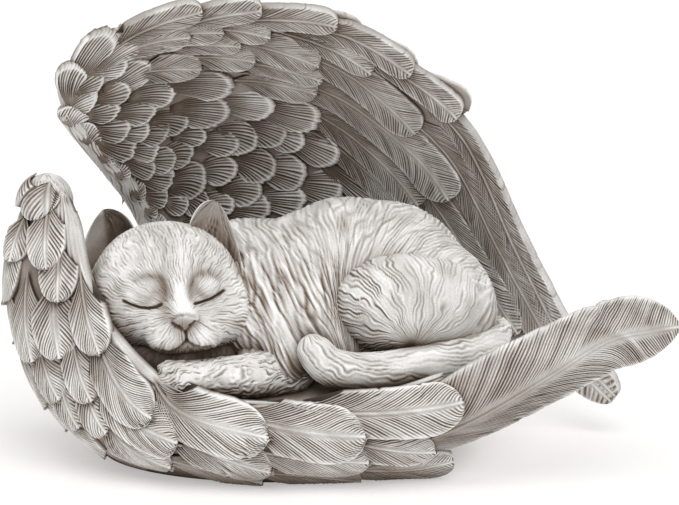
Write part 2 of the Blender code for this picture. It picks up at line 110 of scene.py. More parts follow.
# Back wing, from its bend at the left, over the cat, down to the right: foot, deepest point, rim
backStations = np.array([
    [(-48, 34, 22), (-57, 31, 63), (-81.5, 5, 101.5)],
    [(-45, 37, 22), (-54.5, 37, 70), (-81, 1.5, 109)],
    [(-41, 39, 22), (-49.5, 41, 75.5), (-74.5, 0, 115.5)],
    [(-36, 40, 22), (-43, 43.5, 79), (-60, 2, 124.5)],
    [(-30, 41, 22), (-31, 44.5, 81), (-40, 6, 128)],
    [(-23, 41, 22), (-18, 45, 80), (-20, 9, 127.5)],
    [(-15, 41, 22), (-4, 45, 76), (2, 14, 121.5)],
    [(-7, 40, 22), (9, 44.5, 68), (22.5, 19, 107)],
    [(1, 39, 22), (18.5, 43.5, 60), (35.5, 22, 94.5)],
    [(8, 37, 21), (26, 41.5, 51), (43.5, 25, 80.5)],
    [(14, 35, 19), (34.5, 38.5, 40), (52, 26, 60)],
    [(20, 32, 17), (42, 34.5, 30), (59.5, 23, 44)],
    [(30, 28, 14), (50, 29, 21), (68.5, 19, 27)],
    [(50, 20, 9), (65, 20, 10), (83, 14, 11)],
])
wings = {
    "footWall": 6.2,  # thickness of both wings at their foot and at their rim
    "rimWall": 3.0,
    "rolledEdge": 1.1,  # how much further out the back wing's left edge is rolled
    "rolledLength": 92,
    "rolledStrokes": 18,
    "rolledRows": 150,
    "rolledColumns": 72,
    "frontShell": {"range": (0.0, 0.74), "rows": 150, "rimFrom": 0.78},
    "backShell": {"range": (-0.01, 0.935), "rows": 110, "rimFrom": 0.92},
    "capsUntil": 0.03,  # front feathers that start before this s lie over the bend
    "firstSeed": 107,
    "seedStep": 7,
}


def stationSurface(stations, s, t):
    # smooth surface through a grid of stations: the sum of its points, weighted by s and by t
    return np.einsum("ni,nj,ijk->nk", splineWeights(len(stations), s), splineWeights(3, t), stations)


def frontFace(s, t):
    # outer face of the front wing: s from the bend to the tips, t from the foot to the rim
    return stationSurface(frontStations, s, t)


def backFace(s, t):
    # hollow face of the back wing, with the same s and t
    return stationSurface(backStations, s, t)


def wallAt(t):
    # the wall thins out evenly from the foot to the rim
    t = np.clip(np.asarray(t, float), 0, 1)
    return (wings["footWall"] + (wings["rimWall"] - wings["footWall"]) * t)[..., None]


def rearFace(s, t):
    # rounded back of the back wing: t is counted from the rim down, so that its normal faces out
    points, normals = withNormals(backFace, s, 1 - np.asarray(t, float))
    return points - normals * wallAt(1 - np.asarray(t, float))


def innerFace(s, t):
    # the front wing's other side, in the same way
    points, normals = withNormals(frontFace, s, 1 - np.asarray(t, float))
    return points - normals * wallAt(1 - np.asarray(t, float))


def withNormals(face, s, t):
    # points of a face, and its normals: the cross product of its slopes along s and t
    s, t = np.broadcast_arrays(np.asarray(s, float), np.asarray(t, float))
    shape = s.shape
    s, t = s.ravel(), t.ravel()
    e = 1e-3
    normals = np.cross(face(s + e, t) - face(s - e, t), face(s, t + e) - face(s, t - e))
    normals /= np.linalg.norm(normals, axis=1)[:, None] + 1e-12
    return face(s, t).reshape(*shape, 3), normals.reshape(*shape, 3)


def movedOnFace(face, s, t, offset):
    # the place that lies an offset away from (s, t), by the face's own stretch in both directions
    e = 1e-3
    along = (face(s + e, t) - face(s - e, t)) / (2 * e)
    across = (face(s, t + e) - face(s, t - e)) / (2 * e)
    aa, bb, ab = (along**2).sum(1), (across**2).sum(1), (along * across).sum(1)
    pa, pb = (along * offset).sum(1), (across * offset).sum(1)
    det = aa * bb - ab**2 + 1e-9
    return s + (pa * bb - pb * ab) / det, t + (pb * aa - pa * ab) / det


def speckle(p, seed):
    # smooth random field in -1..1: hashed values at whole coordinates, blended between them
    base = np.floor(p).astype(np.int64)
    f = p - base
    f = f * f * (3 - 2 * f)
    total = 0
    for corner in range(8):
        step = np.array((corner & 1, corner >> 1 & 1, corner >> 2))
        q = base + step
        h = (q[..., 0] * 73856093) ^ (q[..., 1] * 19349663) ^ (q[..., 2] * 83492791) ^ (seed * 2654435761)
        h = ((h & 0xFFFFFFFF) * 1274126177) & 0xFFFFFFFF
        h = ((h ^ (h >> 15)) * 2246822519) & 0xFFFFFFFF
        share = np.prod(np.where(step, f, 1 - f), axis=-1)
        total = total + share * (((h >> 8) & 0xFFFF) / 32767.5 - 1)
    return total


def waver(x, seed):
    # the same along one number
    x = np.asarray(x, float)
    return speckle(np.stack([x, x * 0 + 0.37, x * 0 + 0.71], -1), seed)


def drift(a, b, seed):
    # smooth random field of two numbers, -1..1
    a, b = np.broadcast_arrays(np.asarray(a, float), np.asarray(b, float))
    return speckle(np.stack([a, b, 0 * a + 0.37], -1), seed)


def bending(points, size, amount, seed):
    # how far strokes are bent aside at each point, in strokes: broad and fine noise together
    return amount * (speckle(points / (4 * size), seed) + 0.45 * speckle(points / (1.4 * size), seed + 1))


def locks(beat, along, reach, seed):
    # fur and barbs carved as strokes side by side: a groove stands at each whole beat and a ridge halfway
    # between, and every one comes and goes along its length by its own noise
    number = np.round(beat)
    off = beat - number
    alive = eased(drift(number * 7.31, along / reach, seed), -0.45, 0.55)
    lively = eased(drift(np.floor(beat) * 5.17, along / reach, seed + 1), -0.35, 0.6)
    return np.exp(-(off / 0.18) ** 2) * alive, np.exp(-((np.abs(off) - 0.5) / 0.15) ** 2) * lively


def roundLocks(turn, along, zones, bent, reach, seed):
    # strokes that run out from a pole; each zone (strokes in a full turn, from, to) fades into the next
    groove, ridge = 0.0, 0.0
    for count, low, high in zones:
        share = eased(along, low - 1.2, low + 1.2) * (1 - eased(along, high - 1.2, high + 1.2))
        g, r = locks(turn * count + bent, along, reach, seed + count)
        groove, ridge = groove + share * g, ridge + share * r
    return groove, ridge


def eased(x, low, high):
    # 0 below low, 1 above high, and a smooth step between them
    f = np.clip((np.asarray(x, float) - low) / (high - low), 0, 1)
    return f * f * (3 - 2 * f)


def skinFaces(rows, columns, start, kind):
    # rows of closed rings; a sheet's end rings are stitched across, face side to back, and other ends
    # are closed by a pole before the first row and one after the last
    number = start + np.arange(rows * columns).reshape(rows, columns)
    after = np.roll(number, -1, axis=1)
    quads = np.stack([number[:-1], after[:-1], after[1:], number[1:]], -1).reshape(-1, 4).tolist()
    if kind == "sheet":
        mirrored = number[:, ::-1]
        half = columns // 2 - 1
        low = np.stack([number[0, 1:], number[0, :-1], mirrored[0, :-1], mirrored[0, 1:]], -1)[:half]
        high = np.stack([number[-1, :-1], number[-1, 1:], mirrored[-1, 1:], mirrored[-1, :-1]], -1)[:half]
    else:
        first, last = start + rows * columns, start + rows * columns + 1
        low = np.stack([after[0], number[0], np.full(columns, first)], -1)
        high = np.stack([number[-1], after[-1], np.full(columns, last)], -1)
    return quads + low.tolist() + high.tolist()


def enclosed(grid):
    # volume inside a skin, negative when its rings run the wrong way round
    after = np.roll(grid, -1, axis=1)
    area = np.cross(after[1:] - grid[:-1], grid[1:] - after[:-1]) / 2
    centre = (grid[:-1] + after[:-1] + after[1:] + grid[1:]) / 4 - grid.mean((0, 1))
    return (centre * area).sum() / 3


def pieceFrom(name, skins):
    # skins: (points by row and ring, wash and painted shade by row and ring, and "sheet" for one with
    # stitched ends);
    # poles are the means of the end rings
    points, wash, faces, start = [], [], [], 0
    for grid, stainAndShade, *kind in skins:
        poles = [] if kind else [0, -1]
        if enclosed(grid) < 0:
            grid, stainAndShade = grid[:, ::-1], stainAndShade[:, ::-1]
        rows, columns = grid.shape[:2]
        points += [grid.reshape(-1, 3)] + [grid[end].mean(0)[None] for end in poles]
        wash += [stainAndShade.ravel()] + [[stainAndShade[end].mean()] for end in poles]
        faces += skinFaces(rows, columns, start, *kind or ["closed"])
        start += rows * columns + len(poles)
    points = (np.concatenate(points) + drawnToFrame) / 1000
    points[:, 2] = np.maximum(points[:, 2], 0)
    mesh = bpy.data.meshes.new(name)
    mesh.from_pydata(points.tolist(), [], faces)
    # the attribute holds the real wash in the grooves together with painted shade
    stainAndShade = mesh.attributes.new("wash", "FLOAT", "POINT")
    stainAndShade.data.foreach_set("value", np.concatenate(wash).astype(np.float32))
    mesh.polygons.foreach_set("use_smooth", np.ones(len(mesh.polygons), bool))
    mesh.update()
    piece = bpy.data.objects.new(name, mesh)
    bpy.context.scene.collection.objects.link(piece)
    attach(piece, "root")
    piece.data.materials.append(stoneMaterial)
    pieces.append(piece)
    print("piece", name, "with", sum(len(face) - 2 for face in faces), "triangles")


class Wire:
    # wraps a socket or a number, and adds a Math node for each operator

    def __init__(self, tree, value):
        self.tree, self.value = tree, value

    def node(self, kind, settings=None, output=0, **values):
        # any node: its settings first, then a value or a link for each named socket
        made = self.tree.nodes.new(kind)
        for key, setting in (settings or {}).items():
            if key == "stops":
                ramp = made.color_ramp
                while len(ramp.elements) < len(setting):
                    ramp.elements.new(0.5)
                for element, (place, colour) in zip(ramp.elements, setting):
                    element.position, element.color = place, (*colour, 1)
            else:
                setattr(made, key, setting)
        for key, value in values.items():
            numbered = key[0] == "i" and key[1:].isdigit()
            socket = made.inputs[int(key[1:]) if numbered else key.replace("_", " ")]
            value = value.value if isinstance(value, Wire) else value
            if isinstance(value, bpy.types.NodeSocket):
                self.tree.links.new(value, socket)
            else:
                socket.default_value = value
        return Wire(self.tree, made.outputs[output])

    def math(self, operation, *values):
        sockets = {f"i{i}": value for i, value in enumerate(values)}
        return self.node("ShaderNodeMath", {"operation": operation}, **sockets)

    def __add__(self, other):
        return self.math("ADD", self, other)

    def __radd__(self, other):
        return self.math("ADD", other, self)

    def __sub__(self, other):
        return self.math("SUBTRACT", self, other)

    def __rsub__(self, other):
        return self.math("SUBTRACT", other, self)

    def __mul__(self, other):
        return self.math("MULTIPLY", self, other)

    def __rmul__(self, other):
        return self.math("MULTIPLY", other, self)

    def __pow__(self, other):
        return self.math("POWER", self, other)


stone = {
    "ridge": (0.95, 0.935, 0.915),  # rubbed nearly white
    "plain": (0.56, 0.54, 0.515),
    "washed": (0.26, 0.208, 0.168),  # brown-grey wash that stays in the grooves
    "deep": (0.085, 0.062, 0.045),
    # the ramp below is driven by the wash together with painted shade
    "stops": (0.08, 0.34, 0.70, 1.0),  # how much wash gives each of these colours
    "roughness": 0.78,
    "specular": 0.25,
    # crease darkening by ambient occlusion: partly the wash that pools in crevices, partly painted shade
    # where parts overlap and sink in
    "creaseReach": 0.006,
    "creaseWashAndShade": 0.80,
    "patches": 90.0,  # cloudy patches in the wash, and how strong they are
    "patchWash": 0.25,
    "grain": 1900.0,  # fine grain of the casting, also as a bump
    "grainWash": 0.30,
    "grainHeight": 0.00012,
}


def makeStone():
    material = bpy.data.materials.new("resinStone")
    material.use_nodes = True
    tree = material.node_tree
    shader = tree.nodes["Principled BSDF"]
    wire = Wire(tree, None)
    place = wire.node("ShaderNodeTexCoord", output=3)
    wash = wire.node("ShaderNodeAttribute", {"attribute_name": "wash"}, output=2)
    reach = stone["creaseReach"]
    openness = wire.node("ShaderNodeAmbientOcclusion", {"samples": 12}, output=1, Distance=reach)
    patches = wire.node("ShaderNodeTexNoise", Vector=place, Scale=stone["patches"], Detail=3.0)
    grain = wire.node("ShaderNodeTexNoise", Vector=place, Scale=stone["grain"], Detail=4.0, Roughness=0.7)
    # ambient occlusion adds painted shade in creases and overlaps on top of the wash, and also stands for
    # the wash pooling there
    tone = wash + (1 - openness) ** 1.2 * stone["creaseWashAndShade"]
    tone = tone + (patches - 0.5) * stone["patchWash"] + (grain - 0.5) * stone["grainWash"]
    colours = (stone["ridge"], stone["plain"], stone["washed"], stone["deep"])
    stops = tuple(zip(stone["stops"], colours))
    colour = wire.node("ShaderNodeValToRGB", {"stops": stops}, Fac=tone)
    tree.links.new(colour.value, shader.inputs["Base Color"])
    bump = wire.node("ShaderNodeBump", Strength=0.35, Distance=stone["grainHeight"], Height=grain)
    tree.links.new(bump.value, shader.inputs["Normal"])
    shader.inputs["Roughness"].default_value = stone["roughness"]
    shader.inputs["Specular IOR Level"].default_value = stone["specular"]
    return material


stoneMaterial = makeStone()


vane = {
    "grain": 0.34,  # spacing of the rows along the feather
    "barbSpacing": 1.6,
    "barbDepth": 0.46,
    "barbLean": 2.3,  # how far a barb sweeps forward for its height
    "barbBow": 0.72,  # and how it bows outwards, 1 for straight
    "rachisWidth": 0.28,
    "crown": 0.50,
    "hidden": 0.32,  # share of its length by which a feather goes on under its neighbours
    "tilt": 0,
    "washed": 0.0,
    "swell": 1.14,
}
vaneKinds = {
    # climb: how far the tip stands off the face; depth: down to where its edge goes; flight: how much wider
    # the upper vane of a flight feather is near its root, where the feather is one
    "cap": {"climb": 1.3, "tilt": 0.3, "depth": 1.2, "grain": 0.19, "barbSpacing": 0.95, "hidden": 0.0},
    "front": {"climb": 2.3, "tilt": 0.9, "depth": 3.0},
    "frontFlight": {"climb": 1.1, "depth": 4.2, "grain": 0.31, "barbSpacing": 1.35, "washed": 0.10,
                    "hidden": 0.0, "flight": 0.60},
    # the back wing's feathers take more wash: partly wash, partly painted shade in the wing's hollow
    "backRim": {"climb": 1.95, "tilt": 0.6, "depth": 3.0, "grain": 0.47, "washed": 0.10, "hidden": 0.6},
    "backVane": {"climb": 1.95, "tilt": 0.6, "depth": 3.0, "grain": 0.47, "washed": 0.10, "hidden": 0.36},
    "backFlight": {"climb": 0.9, "depth": 4.2, "grain": 0.52, "washed": 0.10, "hidden": 0.05,
                   "flight": 0.0},
    "rear": {"climb": 2.0, "tilt": -0.7, "depth": 3.0, "grain": 1.25, "hidden": 0.45},
    "inner": {"climb": 1.2, "tilt": -0.5, "depth": 2.5, "grain": 1.25, "washed": 0.06, "hidden": 0.3},
}
acrossVane = np.array((0, 0.04, 0.09, 0.16, 0.26, 0.38, 0.52, 0.66, 0.79, 0.89, 0.96, 1.0))
acrossVane = np.concatenate([-acrossVane[:0:-1], acrossVane])


def layOnFace(face, rootTip, x, y, length):
    # carries flat feather points (x along, y across) onto a wing's face; gives the points and normals there
    rootS, rootT, tipS, tipT = rootTip
    share = x / length
    s, t = rootS + (tipS - rootS) * share, rootT + (tipT - rootT) * share
    shape = x.shape
    s, t = s.ravel(), t.ravel()
    step = 1e-3
    _, normal = withNormals(face, s, t)
    dS, dT = step * (tipS - rootS), step * (tipT - rootT)
    ahead = face(s + dS, t + dT) - face(s - dS, t - dT)
    side = np.cross(normal, ahead)
    side /= np.linalg.norm(side, axis=1)[:, None]
    s, t = movedOnFace(face, s, t, side * y.ravel()[:, None])
    points, normals = withNormals(face, s, t)
    if face is frontFace:
        points, normals = overBend(points, normals)
    return points.reshape(*shape, 3), normals.reshape(*shape, 3)


def centreLength(face, place):
    u = np.linspace(0, 1, 13)
    line = face(place[0] + (place[2] - place[0]) * u, place[1] + (place[3] - place[1]) * u)
    return float(np.linalg.norm(np.diff(line, axis=0), axis=1).sum())


def overBend(points, normals):
    # lifts what lies inside the round bend of the front wing out onto it
    depth = np.maximum(-ball(points, bend["centre"], bend["radii"]), 0)
    out = (points - np.array(bend["centre"])) / np.array(bend["radii"]) ** 2
    out = out / np.linalg.norm(out, axis=-1)[..., None]
    share = eased(depth, 0, 1.5)[..., None]
    turned = normals + (out - normals) * share
    return points + out * depth[..., None], turned / np.linalg.norm(turned, axis=-1)[..., None]


def vaneRelief(a, b, y, length, spacing, seed):
    # cut grooves between the barbs, each with its own depth and ends, and the line beside the rachis
    beat = a * length / spacing + 0.42 * waver(a * length / 3.4 + 50 * np.sign(b), seed + 2)
    beat = beat + 0.16 * drift(a * length / 2.2, 2.5 * b, seed + 5)
    number = np.round(beat)
    off = np.abs(beat - number)
    chance = waver(number * 7.31 + 31 * np.sign(b), seed + 3)
    cut = np.exp(-(off / (0.20 + 0.07 * chance)) ** 2)
    other = waver(number * 5.17 + 77 * np.sign(b), seed + 4)
    ends = eased(np.abs(b), 0.08 + 0.07 * chance, 0.24 + 0.12 * chance)
    ends = ends * (1 - eased(np.abs(b), 0.84 + 0.16 * other, 1.0 + 0.12 * other))
    groove = cut * ends * (0.62 + 0.48 * chance)
    ridge = np.exp(-((off - 0.5) / 0.20) ** 2) * ends * (0.7 + 0.4 * other)
    stem = np.exp(-(y / vane["rachisWidth"]) ** 2) * (1 - 0.7 * a)
    besideStem = np.exp(-((np.abs(y) - 2.0 * vane["rachisWidth"]) / 0.26) ** 2) * (1 - 0.55 * a)
    rim = np.exp(-((np.abs(b) - 0.94) / 0.045) ** 2)
    return groove, ridge, stem, besideStem, rim


def vaneFeather(face, place, kind, seed):
    # feather with a rachis and swept barbs. Each row of the grid is one line along the barbs:
    # x = L (a + k |b|^0.72 (1 - a^3)), y = b w(x), where w is the outline's half width with a round tip.
    # A flight feather is carved below as well
    look = {**vane, **vaneKinds[kind]}
    hidden, depth, washed = look["hidden"], look["depth"], look["washed"]
    long = "flight" in look
    rootS, rootT, tipS, tipT, width = place
    place = (rootS - hidden * (tipS - rootS), rootT - hidden * (tipT - rootT), tipS, tipT)
    width = width * (1.0 if long else vane["swell"])
    length = centreLength(face, place)
    rows = int(np.clip(length / look["grain"], 30, 330))
    half = width / 2
    lean = min(0.46, vane["barbLean"] * half / length)
    a = np.linspace(0, 1, rows)[:, None]
    b = acrossVane[None, :]
    x = length * (a + lean * np.abs(b) ** vane["barbBow"] * (1 - a**3))
    straight = 1 - min(0.6, (1.0 if long else 0.62) * width / length)
    blunt = np.clip((x / length - straight) / (1 - straight), 0, 1)
    swell = 0.70 + 0.30 * np.sin(math.pi / 2 * np.clip(x / length / straight, 0, 1))
    nick = eased(waver(x / 1.7 + 30 * np.sign(b), seed + 1), 0.45, 0.9)
    fray = 1 - 0.05 * np.abs(waver(x / 2.6 + 9 * np.sign(b), seed)) - 0.10 * nick * (b != 0)
    fray = 1 - (1 - fray) * eased(x / length, 0.15, 0.35) * (kind != "cap")
    outline = half * swell * np.maximum(1 - blunt**2.2, 0.0015) ** 0.55 * fray
    if kind == "cap":  # it has a round root
        outline = outline * np.sqrt(np.maximum(eased(x / length, -0.01, 0.45), 0.002))
    if long:
        outline = outline * (1 + look["flight"] * (b > 0) * (1 - eased(x / length, 0.15, 0.75)))
    bow = 0.05 * length * math.sin(seed) * (x / length - 0.5) ** 2
    y = b * outline
    groove, ridge, stem, besideStem, rim = vaneRelief(a, b, y, length, look["barbSpacing"], seed)
    height = look["climb"] * (0.1 + 0.9 * x / length) + vane["crown"] * (1 - b**2) ** 0.8 - look["tilt"] * b
    height = height - vane["barbDepth"] * groove + 0.10 * ridge + 0.24 * stem - 0.24 * besideStem
    height = height + 0.14 * rim - 0.30 * eased(np.abs(b), 0.97, 1.0)
    height = height + 0.18 * waver(x / 5.0 + 2 * b, seed + 8)
    top, normal = layOnFace(face, place, x, y + bow, length)
    skin = top + normal * height[..., None]
    if long:
        below = (depth - 0.35 * groove - 0.35 + 0.35 * stem)[..., None]
        uncut = top + normal * (height + vane["barbDepth"] * groove)[..., None]
        under = (uncut - normal * below)[:, -2:0:-1]
        underWashAndShade = (0.16 + 0.40 * groove)[:, -2:0:-1]
    else:
        keep = [-1, len(acrossVane) // 2, 0]
        under = skin[:, keep] - normal[:, keep] * depth * np.array((0.6, 1, 0.6))[None, :, None]
        # the walls under the feather's edges are darkened as painted shade
        underWashAndShade = np.full((rows, 3), 0.45)
    wash = 0.24 + washed + 0.74 * groove - 0.22 * ridge + 0.30 * besideStem - 0.22 * rim - 0.12 * stem
    # painted shade towards the root, which lies under the feathers before it
    rootShade = 0.12 if long else 0.24
    wash = wash + rootShade * (1 - eased(x / length, 0.30, 0.75)) - 0.08 * eased(a, 0.88, 1)
    wash = wash + 0.13 * waver(x / 3.1 + 5 * b, seed + 6)
    return np.concatenate([skin, under], 1), np.clip(np.concatenate([wash, underWashAndShade], 1), 0, 1)


scale = {
    "strokeSpacing": 1.15,  # of the fanned strokes, at the edge
    "strokeDepth": 0.50,
    "crown": 0.9,
    "hidden": 0.50,
    "rootBehind": 0.35,  # share of its length by which the strokes' root lies behind the feather
    "swell": 1.18,
    "tilt": 0.6,
    "edge": {"climb": 1.0, "depth": 1.6, "washed": 0.02},  # along the wing's left edge
    # the field's extra wash is partly painted shade in the back wing's hollow
    "field": {"climb": 1.95, "depth": 3.0, "washed": 0.12},
}


def fanFeather(face, place, kind, seed):
    # short round feather with strokes that fan out from a root R behind it: the line at angle psi runs
    # from the feather's back end to where it meets the ellipse ((x - c) / rx)^2 + (y / ry)^2 = 1
    rootS, rootT, tipS, tipT, width = place
    climb, depth, washed = (scale[kind][key] for key in ("climb", "depth", "washed"))
    hidden = scale["hidden"]
    place = (rootS - hidden * (tipS - rootS), rootT - hidden * (tipT - rootT), tipS, tipT)
    width = width * scale["swell"] * (1 + 0.08 * math.sin(3.3 * seed))
    length = centreLength(face, place)
    half = width / 2
    behind = scale["rootBehind"] * length
    rx = min(0.46 * length, 1.1 * half)
    middle = length - rx + behind
    widest = math.atan(half / math.sqrt(middle**2 - rx**2)) * 0.999
    count = max(7, round(2.6 * half / scale["strokeSpacing"]))
    u = np.linspace(-1, 1, 5 * count + 1)[None, :]
    a = np.array((0, 0.2, 0.36, 0.48, 0.58, 0.67, 0.75, 0.82, 0.88, 0.93, 0.97, 1.0))[:, None]
    beat = (u + 1) * count / 2 + 0.55 * waver(u * 3.1, seed + 1)
    beat = beat + 0.30 * drift(u * 4, a * 2.2, seed + 5)
    number = np.round(beat)
    off = np.abs(beat - number)
    chance = waver(number * 7.31, seed + 2)
    nick = np.exp(-(off / 0.25) ** 2) * (0.6 + 0.4 * chance)
    fray = 1 - 0.05 * np.abs(waver(u * 5, seed)) - 0.012 * nick
    psi = widest * u
    share = (np.cos(psi) / rx) ** 2 + (np.sin(psi) / half) ** 2
    toward = np.cos(psi) * middle / rx**2
    reach = (toward + np.sqrt(np.maximum(toward**2 - share * ((middle / rx) ** 2 - 1), 0))) / share
    start = behind / np.cos(psi)
    out = start + a * (reach * fray - start)
    x = out * np.cos(psi) - behind
    y = out * np.sin(psi) + 0.14 * half * math.sin(1.7 * seed) * np.sin(math.pi * a)
    ends = eased(a, 0.14 + 0.14 * chance, 0.36 + 0.18 * chance) * (1 - 0.8 * eased(a, 0.84, 0.95))
    ends = ends * (1 - eased(np.abs(u), 0.86, 0.95))
    groove = np.exp(-(off / (0.20 + 0.07 * chance)) ** 2) * ends * (0.66 + 0.44 * chance)
    other = waver(np.floor(beat) * 5.17, seed + 3)
    ridge = np.exp(-((off - 0.5) / 0.17) ** 2) * ends * (0.65 + 0.5 * other)
    rim = np.exp(-((a - 0.93) / 0.04) ** 2) + np.exp(-((np.abs(u) - 0.96) / 0.05) ** 2)
    height = climb * (0.05 + 0.95 * x / length) + scale["crown"] * (1 - u**2) * (1 - a**3)
    height = height - scale["tilt"] * u
    height = height - scale["strokeDepth"] * groove + 0.14 * ridge + 0.14 * rim
    height = height - 0.25 * eased(a, 0.97, 1.0) - 0.5 * eased(np.abs(u), 0.94, 1.0)
    points, normals = layOnFace(face, place, x, y, length)
    skin = points + normals * height[..., None]
    keep = [-1, u.shape[1] // 2, 0]
    under = skin[:, keep] - normals[:, keep] * depth
    # darker towards the root is painted shade under the scale before it
    wash = 0.25 + washed + 0.80 * groove - 0.34 * ridge - 0.30 * rim + 0.42 * (1 - eased(a, 0.20, 0.80))
    wash = wash + 0.07 * math.sin(5.1 * seed)
    wash = wash + 0.12 * waver(u * 1.9 + 3, seed + 6)
    skin = np.concatenate([skin, under], 1)
    wash = np.concatenate([wash, np.full((len(a), 3), 0.5)], 1)
    # the last ring drops straight down, so that the feather has a front wall; it and the walls under the
    # sides are darkened as painted shade
    drop = np.concatenate([points[-1] - normals[-1] * (depth - height[-1, :, None]), under[-1]])
    return np.concatenate([skin, drop[None]]), np.clip(np.concatenate([wash, wash[-1:] + 0.3]), 0, 1)


# places of the feathers: s and t of the root, s and t of the tip, and the width in mm; front ones first
frontRows = (
    (
        (0.008, 0.71, 0.066, 0.80, 10.5), (0.01, 0.43, 0.051, 0.47, 9.0),
        (0.062, 0.81, 0.153, 0.81, 11.8), (0.076, 0.62, 0.135, 0.57, 9.0),
        (0.131, 0.88, 0.201, 0.84, 12.4), (0.184, 0.82, 0.278, 0.74, 15.0),
        (0.188, 0.97, 0.285, 0.91, 11.2), (0.265, 0.92, 0.418, 0.80, 13.6),
        (0.405, 0.93, 0.554, 0.70, 15.5), (0.525, 0.84, 0.653, 0.63, 14.9),
        (0.610, 0.90, 0.755, 0.68, 13.0),
    ),
    (
        (0.103, 0.55, 0.188, 0.44, 9.3), (0.176, 0.66, 0.271, 0.60, 11.2),
        (0.260, 0.82, 0.348, 0.72, 10.5), (0.256, 0.66, 0.328, 0.60, 9.9),
        (0.323, 0.86, 0.469, 0.64, 13.6), (0.459, 0.69, 0.566, 0.35, 12.4),
        (0.553, 0.55, 0.659, 0.38, 13.0), (0.638, 0.59, 0.727, 0.31, 10.5),
    ),
    (
        (0.174, 0.46, 0.235, 0.38, 9.0), (0.249, 0.52, 0.320, 0.44, 9.3),
        (0.304, 0.67, 0.365, 0.54, 10.5), (0.325, 0.75, 0.391, 0.61, 9.9),
        (0.382, 0.68, 0.470, 0.35, 13.6), (0.473, 0.39, 0.561, 0.15, 10.5),
        (0.562, 0.26, 0.661, 0.09, 10.0), (0.646, 0.24, 0.756, 0.02, 10.5),
    ),
    (
        (0.02, 0.20, 0.09, 0.22, 11), (0.10, 0.28, 0.17, 0.22, 11), (0.18, 0.26, 0.25, 0.20, 11),
        (0.294, 0.46, 0.345, 0.36, 10), (0.343, 0.50, 0.39, 0.30, 10), (0.385, 0.34, 0.43, 0.10, 9),
        (0.26, 0.24, 0.32, 0.16, 11),
    ),
)
frontFlights = ((0.60, 0.37, 1.040, 0.62, 21.0),)
backVanes = (
    (0.413, 0.90, 0.567, 0.85, 12.4), (0.352, 0.92, 0.435, 0.88, 11.8), (0.418, 0.96, 0.492, 0.94, 8.1),
    (0.419, 0.78, 0.677, 0.75, 14.2), (0.443, 0.67, 0.635, 0.61, 11.2), (0.465, 0.59, 0.609, 0.54, 9.9),
    (0.289, 0.88, 0.360, 0.86, 11.2), (0.346, 0.77, 0.435, 0.77, 13.0), (0.317, 0.98, 0.382, 0.96, 8.1),
    (0.265, 0.935, 0.345, 0.92, 8.0), (0.345, 0.845, 0.440, 0.825, 9.0),
)
backRim = (
    (0.219, 0.97, 0.290, 0.97, 9.4), (0.227, 0.87, 0.288, 0.84, 11.0), (0.261, 0.98, 0.328, 0.97, 9.0),
    (0.235, 1.01, 0.310, 1.05, 8.0),
    (0.300, 1.01, 0.375, 1.05, 8.0), (0.370, 1.01, 0.450, 1.045, 8.0), (0.445, 1.01, 0.530, 1.04, 8.0),
    (0.510, 1.00, 0.610, 1.03, 8.5),
)
